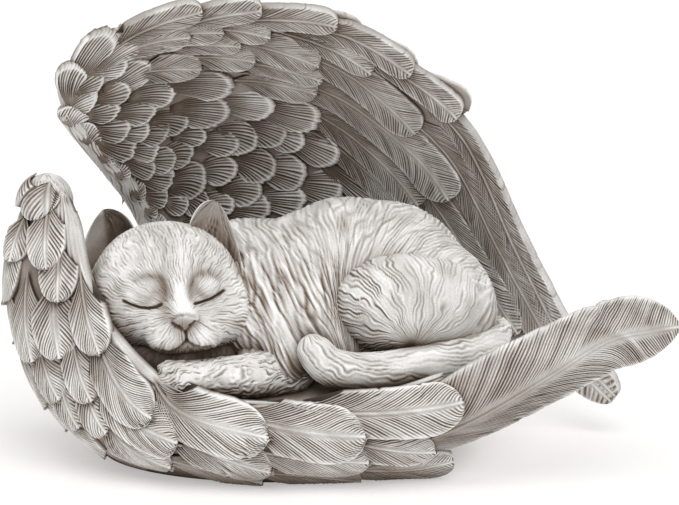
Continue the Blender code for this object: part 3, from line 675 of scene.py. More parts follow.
backScales = (
    (
        (0.004, 0.96, 0.065, 0.93, 9.0), (0.002, 0.88, 0.060, 0.85, 8.6), (0.000, 0.80, 0.048, 0.77, 8.2),
        (0.000, 0.72, 0.042, 0.69, 8.0), (0.000, 0.63, 0.035, 0.60, 8.0), (0.000, 0.55, 0.030, 0.52, 7.6),
        (0.000, 0.46, 0.035, 0.42, 7.6), (0.000, 0.38, 0.070, 0.33, 8.0),
        (0.150, 1.00, 0.215, 1.05, 8.0), (0.181, 0.97, 0.240, 0.985, 9.0), (0.085, 0.98, 0.150, 1.03, 8.0),
        (0.120, 0.96, 0.175, 0.95, 9.0), (0.066, 0.94, 0.137, 0.90, 9.0), (0.169, 0.97, 0.205, 0.92, 8.6),
        (0.177, 0.89, 0.235, 0.87, 9.4),
    ),
    (
        (0.068, 0.82, 0.117, 0.74, 8.1), (0.089, 0.87, 0.145, 0.82, 8.1), (0.144, 0.88, 0.185, 0.85, 7.4),
        (0.144, 0.79, 0.190, 0.73, 8.7), (0.191, 0.80, 0.237, 0.75, 9.3), (0.252, 0.78, 0.322, 0.74, 10.5),
        (0.243, 0.68, 0.304, 0.64, 12.4), (0.314, 0.68, 0.377, 0.66, 11.2),
        (0.379, 0.66, 0.444, 0.65, 11.8),
    ),
    (
        (0.041, 0.79, 0.084, 0.68, 8.1), (0.104, 0.75, 0.150, 0.69, 8.1), (0.136, 0.70, 0.185, 0.64, 8.7),
        (0.182, 0.69, 0.231, 0.63, 8.7), (0.209, 0.60, 0.258, 0.57, 7.4), (0.290, 0.56, 0.345, 0.53, 11.2),
        (0.344, 0.58, 0.393, 0.56, 9.9), (0.377, 0.57, 0.421, 0.55, 9.9), (0.421, 0.56, 0.477, 0.54, 10.5),
    ),
    (
        (0.050, 0.68, 0.087, 0.58, 7.4), (0.087, 0.69, 0.131, 0.61, 8.1), (0.098, 0.61, 0.156, 0.54, 8.1),
        (0.149, 0.57, 0.218, 0.53, 8.1), (0.253, 0.55, 0.312, 0.53, 9.3), (0.243, 0.46, 0.303, 0.45, 9.9),
        (0.316, 0.47, 0.376, 0.44, 9.9), (0.369, 0.45, 0.433, 0.45, 11.2), (0.435, 0.43, 0.499, 0.45, 10.5),
    ),
    (
        (0.030, 0.56, 0.078, 0.48, 7.4), (0.063, 0.59, 0.123, 0.50, 8.7), (0.088, 0.45, 0.140, 0.39, 8.1),
        (0.137, 0.48, 0.231, 0.42, 10.5), (0.144, 0.41, 0.220, 0.35, 8.1), (0.227, 0.36, 0.293, 0.35, 8.1),
        (0.287, 0.39, 0.352, 0.39, 9.3), (0.298, 0.34, 0.372, 0.34, 8.7), (0.367, 0.37, 0.437, 0.38, 9.9),
        (0.437, 0.37, 0.496, 0.40, 8.7), (0.481, 0.51, 0.555, 0.50, 8.7),
    ),
    (
        (0.05, 0.36, 0.11, 0.30, 8), (0.12, 0.33, 0.19, 0.28, 8), (0.20, 0.29, 0.27, 0.27, 8),
        (0.27, 0.27, 0.34, 0.27, 8), (0.34, 0.27, 0.41, 0.28, 8), (0.41, 0.29, 0.47, 0.31, 8),
        (0.49, 0.42, 0.56, 0.43, 9), (0.52, 0.55, 0.60, 0.56, 9),
    ),
)
backFlights = (
    (0.56, 0.96, 1.00, 1.00, 9.0), (0.54, 0.85, 1.01, 0.91, 14.0), (0.52, 0.66, 0.90, 0.70, 13.0),
)
rearRows = (
    (
        (0.06, 0.13, 0.13, 0.07, 12), (0.12, 0.10, 0.22, 0.0, 12), (0.20, 0.10, 0.30, 0.04, 13),
        (0.26, 0.10, 0.37, -0.01, 12), (0.33, 0.10, 0.425, 0.0, 12),
        (0.36, 0.10, 0.475, -0.02, 12), (0.42, 0.10, 0.535, -0.02, 12),
        (0.48, 0.10, 0.62, -0.05, 12), (0.58, 0.17, 0.73, 0.14, 13), (0.68, 0.18, 0.84, 0.15, 13),
    ),
    (
        (0.02, 0.24, 0.12, 0.21, 16), (0.10, 0.25, 0.21, 0.21, 16), (0.19, 0.25, 0.31, 0.21, 17),
        (0.28, 0.25, 0.42, 0.21, 17), (0.38, 0.25, 0.54, 0.21, 17), (0.48, 0.26, 0.67, 0.22, 17),
        (0.62, 0.27, 0.82, 0.24, 17),
    ),
    (
        (0.02, 0.38, 0.13, 0.35, 17), (0.12, 0.39, 0.24, 0.35, 18), (0.21, 0.39, 0.36, 0.35, 18),
        (0.33, 0.39, 0.48, 0.35, 18), (0.44, 0.39, 0.62, 0.36, 18), (0.56, 0.40, 0.80, 0.37, 18),
    ),
    (
        (0.02, 0.53, 0.16, 0.50, 18), (0.14, 0.53, 0.29, 0.50, 18), (0.26, 0.53, 0.43, 0.50, 18),
        (0.38, 0.53, 0.57, 0.50, 18), (0.52, 0.54, 0.74, 0.51, 18), (0.66, 0.55, 0.88, 0.53, 17),
    ),
    (
        (0.02, 0.68, 0.20, 0.66, 18), (0.17, 0.68, 0.36, 0.66, 18), (0.32, 0.68, 0.52, 0.66, 18),
        (0.46, 0.68, 0.68, 0.66, 18), (0.60, 0.70, 0.86, 0.68, 17),
    ),
    (
        (0.02, 0.83, 0.26, 0.82, 17), (0.22, 0.83, 0.46, 0.82, 17), (0.40, 0.83, 0.66, 0.82, 17),
        (0.58, 0.84, 0.86, 0.83, 16),
    ),
    (
        (0.04, 0.95, 0.34, 0.95, 12), (0.28, 0.95, 0.58, 0.95, 12), (0.50, 0.95, 0.84, 0.95, 12),
    ),
)

innerRows = (
    (0.02, 0.30, 0.10, 0.28, 11), (0.02, 0.56, 0.10, 0.54, 12), (0.02, 0.82, 0.10, 0.80, 12),
    (0.07, 0.45, 0.17, 0.42, 12), (0.07, 0.70, 0.17, 0.67, 12), (0.07, 0.92, 0.17, 0.90, 10),
    (0.14, 0.58, 0.24, 0.54, 12), (0.14, 0.82, 0.24, 0.79, 12), (0.21, 0.70, 0.31, 0.66, 12),
    (0.21, 0.92, 0.31, 0.89, 10), (0.28, 0.82, 0.38, 0.79, 12),
)


def wingShell(face, shell):
    # ring round the wing's section at each s: up its face, over its rim and down its other side;
    # the wall thins out to a round edge at both ends of s, and the rim is carved along its length
    first, last = shell["range"]
    s = np.linspace(first, last, shell["rows"])[:, None]
    foot = (0, 0.006, 0.02, 0.045, 0.08)
    rise = np.concatenate([foot, np.linspace(0.16, 0.76, 6), np.linspace(0.79, 1, 22)])
    t = np.concatenate([rise, rise[::-1]])[None, :]
    points, normals = withNormals(face, s + 0 * t, t + 0 * s)
    behind = np.concatenate([np.zeros(len(rise)), np.ones(len(rise))])[None, :]
    fromEnd = np.clip(np.minimum(s - first, last - s) / 0.03, 0, 1)
    full = np.maximum(np.sqrt(1 - (1 - fromEnd) ** 2), 0.1)
    full = full * np.maximum(np.sqrt(1 - (1 - np.minimum(t / 0.08, 1)) ** 2), 0.1)
    sunk = 0.5 + (behind - 0.5) * full
    turned = t + 0.06 * behind
    groove, ridge = locks(turned * 32 + bending(points, 6, 0.7, 5), s * 250 + 0 * t, 14, 6)
    nearRim = eased(t, shell["rimFrom"], shell["rimFrom"] + 0.08)
    lift = (0.35 * ridge - 0.45 * groove) * nearRim * (1 - 2 * behind)
    skin = points + normals * (lift - sunk * wallAt(t + 0 * s)[..., 0])[..., None]
    # the shell is darkened as painted shade, so that it reads as shadow in the gaps between feathers, and
    # is lighter towards the rim
    wash = 0.55 - 0.33 * nearRim + (0.50 * groove - 0.22 * ridge) * nearRim
    return skin, np.clip(wash + 0.12 * drift(s * 40, t * 9, 6), 0, 1), "sheet"


def tubeSkin(path, radii, rows, columns):
    # round rings along a smooth path, closed by a round end on both sides; also the way out from its middle
    path, radii = np.array(path, float), np.array(radii, float)
    table = splineWeights(len(path), np.linspace(0, 1, rows))
    centre, radius = table @ path, table @ radii
    ahead = np.gradient(centre, axis=0)
    steps = np.linalg.norm(np.diff(centre, axis=0), axis=1)
    run = np.concatenate([[0], np.cumsum(steps)])
    ahead /= np.linalg.norm(ahead, axis=1)[:, None]
    left = np.clip(1 - np.minimum(run, run[-1] - run) / radius, 0, 1)
    radius = radius * np.sqrt(np.maximum(1 - left**2, 0.001))
    side = np.cross(ahead, (0, 0, 1.0))
    side /= np.linalg.norm(side, axis=1)[:, None]
    rise = np.cross(side, ahead)
    angle = np.linspace(0, 2 * math.pi, columns, endpoint=False)
    out = side[:, None] * np.cos(angle)[None, :, None] + rise[:, None] * np.sin(angle)[None, :, None]
    return centre[:, None] + out * radius[:, None, None], out


def rolledEdge():
    # round left edge of the back wing, carved with strokes that run down along it
    across = np.linspace(0.15, 1.0, 7)
    edge, normals = withNormals(backFace, 0 * across, across)
    halfWall = wallAt(across) / 2
    radii = halfWall[:, 0] + wings["rolledEdge"]
    rows = wings["rolledRows"]
    columns = wings["rolledColumns"]
    points, out = tubeSkin(edge - normals * halfWall, radii, rows, columns)
    run = np.linspace(0, wings["rolledLength"], rows)[:, None]
    turn = np.arange(columns)[None, :] / columns
    beat = wings["rolledStrokes"] * (turn + run / 120) + bending(points, 1.8, 1.1, 7)
    groove, ridge = locks(beat, run + 0 * turn, 4, 8)
    skin = points + out * (0.20 * ridge - 0.42 * groove)[..., None]
    return skin, np.clip(0.24 + 0.48 * groove - 0.18 * ridge, 0, 1)


bend = {
    "centre": (-86.5, 4.0, 74.5),  # round bend at the top of the front wing
    "radii": (7.6, 11.7, 8.2),
    "rows": 56,
    "columns": 120,
    "zones": ((22, -9, 7), (42, 7, 90)),  # strokes in a full turn, and where down from the top
}


def frontBend():
    # the bend itself, with strokes that run down from its top
    turn, fall = roundGrid(bend["rows"], bend["columns"])
    points = raySkin(bendField, bend["centre"], (0.1, -0.2, -1), 0, (0, -1, 0), fall, turn * 2 * math.pi)
    groove, ridge = roundLocks(turn, fall * 9.5, bend["zones"], bending(points, 1.5, 0.9, 3), 3.5, 4)
    skin = points + fieldNormals(bendField, points) * (0.15 * ridge - 0.35 * groove)[..., None]
    return skin, np.clip(0.20 + 0.5 * groove - 0.18 * ridge, 0, 1)


def bendField(p):
    return ball(p, bend["centre"], bend["radii"])


def makeWings():
    seeds = itertools.count(wings["firstSeed"], wings["seedStep"])

    def laid(face, places, kind):
        return [vaneFeather(face, place, kind, next(seeds)) for place in places]

    def frontLaid(rows):
        places = [place for row in rows for place in row]
        kinds = ["cap" if place[0] < wings["capsUntil"] else "front" for place in places]
        return [vaneFeather(frontFace, place, kind, next(seeds)) for place, kind in zip(places, kinds)]

    shell = wingShell(frontFace, wings["frontShell"])
    pieceFrom("frontWingRim", [shell, frontBend()] + frontLaid(frontRows[:2]))
    pieceFrom("frontWingFoot", frontLaid(frontRows[2:]) + laid(frontFace, frontFlights, "frontFlight"))

    skins = [wingShell(backFace, wings["backShell"]), rolledEdge()]
    for row in backScales:
        kind = "edge" if row is backScales[0] else "field"
        skins += [fanFeather(backFace, place, kind, next(seeds)) for place in row]
    pieceFrom("backWingScales", skins)

    skins = laid(backFace, backRim, "backRim") + laid(backFace, backVanes, "backVane")
    pieceFrom("backWingFlights", skins + laid(backFace, backFlights, "backFlight"))

    skins = laid(rearFace, [place for row in rearRows for place in row], "rear")
    pieceFrom("backWingRear", skins + laid(innerFace, innerRows, "inner"))


def ball(p, centre, radii):
    # distance to an ellipsoid, close to true near its surface
    q = p - np.array(centre, float)
    r = np.array(radii, float)
    k0 = np.linalg.norm(q / r, axis=-1)
    k1 = np.linalg.norm(q / r**2, axis=-1) + 1e-9
    return k0 * (k0 - 1) / k1


def roll(p, path, radii):
    # distance to a chain of segments, less a radius that runs evenly between its points
    best = np.full(p.shape[:-1], 1e9)
    for a, b, ra, rb in zip(path[:-1], path[1:], radii[:-1], radii[1:]):
        a, b = np.array(a, float), np.array(b, float)
        h = np.clip(((p - a) @ (b - a)) / ((b - a) @ (b - a)), 0, 1)
        away = np.linalg.norm(p - a - h[..., None] * (b - a), axis=-1)
        best = np.minimum(best, away - (ra + h * (rb - ra)))
    return best


def merged(a, b, soft):
    # union with a soft crease
    h = np.clip(0.5 + 0.5 * (b - a) / soft, 0, 1)
    return b + (a - b) * h - soft * h * (1 - h)


def hollowed(a, b, soft):
    # b taken out of a, with a soft edge
    return -merged(-a, b, soft)


def fieldNormals(field, p):
    # the field's slope in three directions, brought to length 1
    e = 0.15
    grad = np.stack([field(p + e * d) - field(p - e * d) for d in np.eye(3)], -1)
    return grad / (np.linalg.norm(grad, axis=-1)[..., None] + 1e-12)


def raySkin(field, middle, axis, length, front, v, phi, reach=45.0):
    # rays from a short line through the middle: v = 0 looks back along the axis, pi ahead, and phi turns
    # round it from the front; each ray is walked inwards to the form's surface
    middle, axis, front = (np.array(q, float) for q in (middle, axis, front))
    axis /= np.linalg.norm(axis)
    front -= axis * (front @ axis)
    front /= np.linalg.norm(front)
    side = np.cross(axis, front)
    start = middle - axis * (length / 2) * np.cos(v)[..., None]
    around = front * np.cos(phi)[..., None] + side * np.sin(phi)[..., None]
    rays = around * np.sin(v)[..., None] - axis * np.cos(v)[..., None]
    far = np.full(v.shape, reach)
    for _ in range(42):
        far = np.minimum(far - 0.8 * field(start + rays * far[..., None]), reach)
    return start + rays * far[..., None]


def roundGrid(rows, columns, low=0.03, high=math.pi - 0.03):
    # share of a full turn by columns, and the angle from the pole by rows
    return np.meshgrid(np.arange(columns) / columns, np.linspace(low, high, rows))


def facePlane(p):
    # where a point shows in the picture, in mm: across, and up from the picture's middle
    tilt = view["elevation"]
    return p[..., 0], p[..., 1] * math.sin(tilt) + (p[..., 2] - 60) * math.cos(tilt)


def nearLine(x, z, line):
    # distance in the face plane to a drawn line
    q = np.stack([x, z], -1)
    best = np.full(x.shape, 1e9)
    for a, b in zip(line[:-1], line[1:]):
        a, b = np.array(a, float), np.array(b, float)
        h = np.clip(((q - a) @ (b - a)) / ((b - a) @ (b - a)), 0, 1)
        best = np.minimum(best, np.linalg.norm(q - a - h[..., None] * (b - a), axis=-1))
    return best


view = {
    # the photograph's camera
    "elevation": math.radians(14.0),
    "distance": 0.9,
    "lens": 161.8,
    "target": (0.000726, -0.003455, 0.060),
}
head = {
    "rows": 132,
    "columns": 480,
    "middle": (-50, -12, 51),
    "ahead": (0.21, -0.98, -0.02),  # from the middle to the nose
    "zones": ((30, -9, 5), (56, 5, 11), (112, 11, 99)),  # strokes in a full turn, and where round the nose
    "broadZones": ((14, -9, 12), (30, 12, 99)),
    "furSpacing": 1.2,
    "furReach": 2.6,
    "furDepth": 0.22,
    # forms of the head: middle, half sizes, and how softly each runs into the one before
    "skull": ((-51.0, -10.5, 52.2), (21.8, 20, 19.3)),
    "cheeks": (((-63.8, -13.8, 46.2), (12.8, 13.0, 11.4), 5), ((-34.3, -14.8, 46.6), (10.9, 12.4, 10.9), 5),
               ((-45.5, -23.5, 45.0), (12.2, 10.5, 8.8), 6)),
    "bridge": (((-48, -21.5, 63), (-46, -28.4, 56.5), (-44.6, -32.2, 50.8)), (5.8, 4.3, 3.3)),
    "sockets": (((-55.6, -34.0, 56.4), (7.4, 5.2, 6.4)), ((-37.9, -33.8, 57.6), (6.6, 5.2, 6.0))),
    # both whisker pads, chin, tip of the nose, and the left and right lid
    "muzzle": (((-49.4, -29.5, 42.5), (6.3, 6.0, 4.9), 2.0), ((-38.9, -29.3, 43.2), (5.3, 5.8, 4.3), 2.0),
               ((-44.6, -25.6, 40.2), (5.0, 5.0, 3.0), 1.8), ((-44.3, -33.7, 48.9), (3.8, 2.6, 2.4), 0.8),
               ((-55.4, -25.2, 54.9), (4.4, 4.8, 3.9), 1.2), ((-38.6, -25.0, 56.2), (4.0, 4.8, 3.7), 1.2)),
}
# cut lines of the face, as they show in the picture: points in mm, depth, half width, wash
faceLines = (
    # slits of the closed eyes
    (((-62.2, -13.9), (-60.0, -14.9), (-57.4, -15.7), (-54.8, -15.9), (-52.6, -15.5), (-51.2, -14.8)),
     0.75, 0.30, 1.1),
    (((-41.6, -14.6), (-40.0, -14.2), (-38.5, -13.7), (-36.8, -13.1), (-35.1, -12.1), (-33.6, -10.9)),
     0.65, 0.28, 1.0),
    # creases over the lids
    (((-50.4, -13.2), (-50.0, -10.6), (-51.0, -8.2), (-53.0, -6.9), (-56.0, -6.8), (-59.2, -8.4)),
     0.20, 0.80, 0.13),
    (((-42.6, -13.0), (-42.7, -10.0), (-41.7, -7.4), (-39.8, -5.9), (-37.4, -5.7), (-34.9, -7.4)),
     0.20, 0.75, 0.13),
    # nostrils, and the lower and upper edge of the nose
    (((-47.9, -20.1), (-46.9, -20.9), (-45.9, -21.1)), 0.6, 0.38, 0.6),
    (((-41.3, -19.6), (-42.0, -20.4), (-42.8, -20.7)), 0.6, 0.34, 0.6),
    (((-45.9, -21.3), (-44.2, -22.6), (-42.8, -21.2)), 0.35, 0.34, 0.28),
    (((-48.0, -19.0), (-46.4, -18.0), (-43.8, -17.6), (-41.4, -18.2)), 0.25, 0.45, 0.20),
    # line down from the nose, and the mouth
    (((-44.1, -22.6), (-43.9, -25.2)), 0.5, 0.30, 0.45),
    (((-43.9, -25.2), (-45.6, -27.2), (-48.0, -28.5), (-50.6, -28.5)), 0.5, 0.42, 0.40),
    (((-50.6, -28.5), (-52.8, -27.6)), 0.3, 0.6, 0.30),
    (((-43.9, -25.2), (-41.8, -26.8), (-39.4, -27.4), (-37.0, -27.0)), 0.45, 0.42, 0.35),
)
# painted shade by the lids, beside the bridge, on the nose and down the jaw, and a painted highlight on the
# bridge: middle, half sizes, wash
faceShades = (
    (-50.6, -9.6, 2.0, 4.4, 0.40), (-42.4, -9.4, 1.5, 3.6, 0.30), (-55.5, -6.8, 5.0, 1.5, 0.12),
    (-38.5, -6.0, 4.2, 1.4, 0.12), (-49.8, -17.4, 1.8, 2.4, 0.20), (-44.4, -20.0, 3.4, 1.9, 0.40),
    (-68.0, -25.0, 6.0, 5.0, 0.30), (-58.0, -29.5, 8.0, 3.4, 0.42), (-44.0, -31.6, 9.0, 1.8, 0.40),
    (-33.0, -29.0, 5.0, 3.0, 0.30), (-44.8, -14.2, 2.4, 4.4, -0.28),  # the last one whitens the bridge
)


def joined(d, p, forms):
    for middle, radii, soft in forms:
        d = merged(d, ball(p, middle, radii), soft)
    return d


def headField(p):
    d = joined(ball(p, *head["skull"]), p, head["cheeks"])
    d = merged(d, roll(p, *head["bridge"]), 3.5)
    for middle, radii in head["sockets"]:
        d = hollowed(d, ball(p, middle, radii), 2.6)
    return joined(d, p, head["muzzle"])


def makeHead():
    # rings round the nose, close together on the face: v = pi u^1.3
    turn, u = roundGrid(head["rows"], head["columns"], 0.006, 0.99)
    v = math.pi * u**1.3
    ahead = np.array(head["ahead"])
    points = raySkin(headField, head["middle"], -ahead, 0, (0, 0, 1), v, turn * 2 * math.pi)
    normals = fieldNormals(headField, points)
    across, up = facePlane(points)
    front = eased(-points[..., 1], 5, 20)

    bent = bending(points, head["furSpacing"], 1.1, 11)
    groove, ridge = roundLocks(turn, 23 * v, head["zones"], bent, head["furReach"], 12)
    broad, _ = roundLocks(turn, 23 * v, head["broadZones"], 0.6 * bent, 6, 15)
    bald = np.exp(-(nearLine(across, up, ((-44.6, -14), (-44.2, -19.6))) / 2.6) ** 2)
    left = ((across + 55.3) ** 2 / 20 + (up + 11.2) ** 2 / 14) ** 1.5
    right = ((across + 38.7) ** 2 / 16 + (up + 10.0) ** 2 / 13) ** 1.5
    lids = np.exp(-left) + np.exp(-right)
    calm = 1 - 0.8 * np.clip(bald + 0.55 * lids * front, 0, 1)
    coarse = 0.75 + 0.7 * eased(-up, 2, 22) * eased(np.abs(across + 46), 8, 22)
    lift = (0.12 * ridge - head["furDepth"] * groove) * calm * coarse - 0.20 * broad * calm
    wash = 0.20 + (0.44 * groove - 0.24 * ridge) * calm * coarse + 0.08 * broad
    wash = wash + 0.10 * speckle(points / 5, 17)

    for line, depth, wide, stainAndShade in faceLines:
        d = nearLine(across, up, line)
        cut = np.exp(-(d / wide) ** 2) * front
        lift = lift - depth * cut
        wash = wash + stainAndShade * cut + 0.14 * stainAndShade * np.exp(-(d / (3 * wide)) ** 2) * front
        lift = lift + 0.12 * np.exp(-((d - 2.4 * wide) / (1.1 * wide)) ** 2) * front
    for x, z, halfWide, halfHigh, stainAndShade in faceShades:
        wash = wash + stainAndShade * np.exp(-((across - x) / halfWide) ** 2 - ((up - z) / halfHigh) ** 2) * front
    pieceFrom("catHead", [(points + normals * lift[..., None], np.clip(wash, 0, 1))])


ear = {
    # outer and inner end of the base, tip, how far and which way the hollow sinks, from where across the
    # ear it does, and how much painted shade darkens its inside
    "left": ((-76.0, -3, 58.0), (-60.0, -6, 67.0), (-69.5, 0, 73.0), (2.0, 5.0, -1.0), 0.15, 0.30),
    "right": ((-28.6, -12.5, 55.5), (-44.4, -10.0, 67.5), (-36.0, -5, 76.6), (-2.0, 5.0, -1.0), 1.2, -0.04),
    "wall": 2.3,
    "rows": 56,
    "columns": 76,
}


def earSkin(outer, inner, tip, cup, hollowFrom, shade, seed):
    # bent triangle: base to tip by rows, across its front and back along its back; cup sinks its middle
    outer, inner, tip, cup = (np.array(p, float) for p in (outer, inner, tip, cup))
    a = np.concatenate([np.linspace(-0.3, 0.9, ear["rows"] - 10), np.linspace(0.91, 1.0, 10)])[:, None]
    w = np.linspace(-math.pi, math.pi, ear["columns"], endpoint=False)[None, :]
    b = np.sin(w)
    face = np.cos(w)
    narrow = np.clip(1 - np.clip(a, 0, 1) ** 1.7, 0.0, 1) ** 0.66 + 0.015
    middle = (outer + inner) / 2
    sheet = middle + (tip - middle) * a[..., None] + (outer - inner) / 2 * (b * narrow)[..., None]
    sheet = sheet + cup * ((1 - np.abs(b) ** 2.2) * narrow)[..., None]
    out = cup / np.linalg.norm(cup)
    wall = ear["wall"] * (0.75 + 0.25 * narrow)
    skin = sheet - out * (wall / 2 * np.sign(face) * np.abs(face) ** 0.7)[..., None]
    inside = (face > 0) * (1 - np.abs(b) ** 6) * eased(hollowFrom - b, 0, 0.12)
    groove, ridge = locks(6.5 * b - 2.2 * a + bending(sheet, 2.0, 0.9, seed), a * 14 + 0 * b, 4, seed)
    skin = skin + out * (inside * (0.7 + 0.4 * groove - 0.3 * ridge))[..., None]
    edge = np.exp(-((np.abs(b) - 0.97) / 0.05) ** 2) + eased(a, 0.86, 0.97)
    # the inside is darkened by the painted shade given, and the fold by painted shade too
    wash = 0.22 + inside * (0.26 + 0.40 * groove - 0.34 * ridge) - 0.16 * edge
    wash = wash + 0.30 * groove * (face <= 0) + shade * (face > 0) * (1 - 0.6 * edge)
    fold = np.exp(-((b - hollowFrom) / 0.12) ** 2) * (face > 0)
    return skin, np.clip(wash + 0.25 * fold, 0, 1)


def makeEars():
    # the left ear's hollow is turned away behind a fold; b runs from the inner side to the outer
    pieceFrom("catEars", [earSkin(*ear["left"], 60), earSkin(*ear["right"], 64)])


body = {
    "rows": 316,
    "columns": 184,
    "furSpacing": 1.45,
    "furReach": 8.0,
    "furDepth": 0.36,
    "wideSpacing": 2.3,
    "broadSpacing": 4.6,
    "top": -0.5 * math.pi,
    "middle": (-5, 4, 44),
    "length": 48,
}


def thighField(p):
    return ball(p, (18, -14, 47.5), (20.6, 14.3, 15.4))


def trunkField(p):
    back = [(-28, 10, 45.0), (-16, 8, 44.5), (2, 10, 47), (13, 9, 47), (21, 4, 41)]
    d = roll(p, back, (22.5, 23.5, 27.0, 26.0, 24))
    d = merged(d, ball(p, (26, -4, 44), (18.5, 17, 17)), 8)  # rump
    d = merged(d, roll(p, [(-10, -10, 50), (-4, -14, 42), (-1, -18, 33)], (9, 9, 8)), 6)  # flank
    d = merged(d, ball(p, (-25, -9, 41), (14.5, 15.5, 19)), 6)  # chest
    d = merged(d, roll(p, [(-18, -8, 52), (-13, -19, 42), (-15, -26, 33)], (10, 9.5, 6.5)), 5)  # shoulder
    return d


def trunkLean(v, turned):
    # how far the fur leans towards the rump, for each step down the side: ahead on the shoulder, and back
    # on the rump
    x = -5 - 47 * np.cos(v)
    onRump = eased(x, -10, 8)
    ahead = 0.40 + 0.60 * eased(turned, 0.8, 2.2)
    back = 0.25 + 0.65 * eased(x, 6, 26)
    lean = (1 - onRump) * ahead - onRump * back
    return 0.5 * lean * np.minimum(1, np.sin(v) / 0.5)


def makeBody():
    # rings run the way the fur lies: each starts evenly spaced on the spine and follows the lean downwards
    w = np.linspace(-math.pi, math.pi, body["columns"], endpoint=False)
    phi = -0.45 + w - 0.45 * np.sin(w)
    even = np.linspace(0.03, math.pi - 0.03, body["rows"])
    v = np.tile(even[:, None], (1, len(phi)))
    for j in range(1, len(phi)):
        if phi[j] > body["top"]:
            lean = trunkLean(v[:, j - 1], phi[j] - body["top"])
            v[:, j] = v[:, j - 1] + (phi[j] - phi[j - 1]) * lean
    v = v + (even[:, None] - v) * eased(phi, 1.1, 2.5)[None, :]
    phi = phi[None, :] + 0 * v
    points = raySkin(trunkField, body["middle"], (1, 0, 0), body["length"], (0, -1, 0), v, phi)
    normals = fieldNormals(trunkField, points)
    across, along = 47 * even[:, None] + 0 * phi, 25 * phi
    bent = bending(points * np.array((1, 0.5, 0.5)), 2.2, 1.25, 21)
    groove, ridge = locks(across / body["furSpacing"] + bent, along, body["furReach"], 23)
    wide, line = locks(across / body["wideSpacing"] - 1.2 * bent + 0.05 * along, along, 7, 26)
    broad, _ = locks(across / body["broadSpacing"] + 0.5 * bent, along, 12, 29)
    groove, ridge = np.maximum(groove, 0.8 * wide), np.maximum(0.8 * ridge, line)
    shoulder = eased(-points[..., 0], -6, 10) * eased(68 - points[..., 2], 0, 14)
    strong = 0.65 + 0.60 * shoulder
    lift = (0.22 * ridge - body["furDepth"] * groove) * strong - 0.28 * broad * strong
    wash = 0.24 + (0.62 * groove - 0.28 * ridge) * strong + (0.06 + 0.16 * shoulder) * broad
    # painted shade, darker towards the bottom in the recess by the tail and the nest
    wash = wash + 0.34 * eased(38 - points[..., 2], 0, 10)
    wash = wash + 0.08 * speckle(points / 6, 27)
    pieceFrom("catBody", [(points + normals * lift[..., None], np.clip(wash, 0, 1))])


thigh = {
    # the middle is where the strokes run to, hidden behind the tail
    "rows": 78,
    "columns": 440,
    "middle": (20.3, -14, 38.6),
    "zones": ((34, -9, 8), (68, 8, 16), (108, 16, 99)),
    "furReach": 6.5,
    "swirl": 0.5,
}


def haunchField(p):
    # the thigh, running softly into the rump at its right and lying just under the trunk past its edge
    right = eased(p[..., 0], 22, 34)
    return merged(thighField(p), trunkField(p) + 2.2 - 1.1 * right, 1.2 + 5.0 * right)


def makeThigh():
    # rings round the pit of the knee, which the strokes run in to with a slight turn
    turn, v = roundGrid(thigh["rows"], thigh["columns"], 0.03, 1.95)
    phi = 2 * math.pi * turn + thigh["swirl"] * (1 - v / 1.5)
    points = raySkin(haunchField, thigh["middle"], (0, 1, 0), 0, (1, 0, 0), v, phi, 28.0)
    normals = fieldNormals(haunchField, points)
    bent = bending(points, 1.7, 1.5, 33)
    groove, ridge = roundLocks(turn, 17 * v, thigh["zones"], bent, thigh["furReach"], 34)
    leftSide = (0.50 + 0.65 * eased(22 - points[..., 0], 0, 14)) * eased(v, 0.06, 0.42)
    lift = (0.24 * ridge - 0.34 * groove) * leftSide - 0.5 * np.exp(-((v / 0.16) ** 2))
    # painted shade in the pit of the knee and towards the bottom
    wash = 0.23 + (0.62 * groove - 0.28 * ridge) * leftSide + 0.16 * np.exp(-((v / 0.25) ** 2))
    wash = wash + 0.16 * eased(42 - points[..., 2], 0, 9) + 0.08 * speckle(points / 6, 36)
    pieceFrom("catThigh", [(points + normals * lift[..., None], np.clip(wash, 0, 1))])


tail = {
    "path": ((47, 8, 36), (45.5, 0, 34.3), (41, -12, 34.4), (31, -22, 34), (18, -28, 32.6), (6, -31, 32),
             (-3, -32.5, 34.5), (-7.5, -32, 39.0), (-10, -30.5, 43)),
    "radii": (4.6, 5.0, 5.3, 5.5, 5.7, 5.9, 5.6, 5.0, 4.0),
    "rows": 250,
    "columns": 78,
    "length": 68,
    "strokes": 24,
}
foreleg = {
    "path": ((-14, -24, 30.5), (-28, -30.5, 30.6), (-39, -33, 30.6), (-45, -34.2, 30.6)),
    "radii": (6.8, 6.5, 6.0, 5.8),
    "toes": (((-50.4, -35.6, 28.0), (4.0, 3.4, 2.5), 0.8), ((-50.0, -35.6, 31.2), (4.0, 3.4, 2.4), 0.8),
             ((-48.4, -34.6, 34.4), (3.8, 3.3, 2.3), 0.8)),
    "middle": (-31, -31, 30.6),
    "ahead": (1, 0.2, 0),
    "rows": 136,
    "columns": 136,
    "strokes": 26,
}
chest = {
    "middle": (-47, -16, 33.5),
    "radii": (19, 15, 9.5),
    "rows": 56,
    "columns": 110,
    "strokes": 60,
}


def tailSkin():
    # a tube along the tail's path, with strokes that wind slowly round it
    points, out = tubeSkin(tail["path"], tail["radii"], tail["rows"], tail["columns"])
    run = np.linspace(0, tail["length"], tail["rows"])[:, None]
    turn = np.arange(tail["columns"])[None, :] / tail["columns"]
    bent = bending(points, 1.6, 1.1, 31)
    groove, ridge = locks(tail["strokes"] * (turn + run / 170) + bent, run + 0 * turn, 5, 33)
    skin = points + out * (0.18 * ridge - 0.32 * groove)[..., None]
    shade = 0.26 * eased(-out[..., 2], 0.15, 0.9)
    return skin, np.clip(0.20 + 0.42 * groove - 0.20 * ridge + shade, 0, 1)


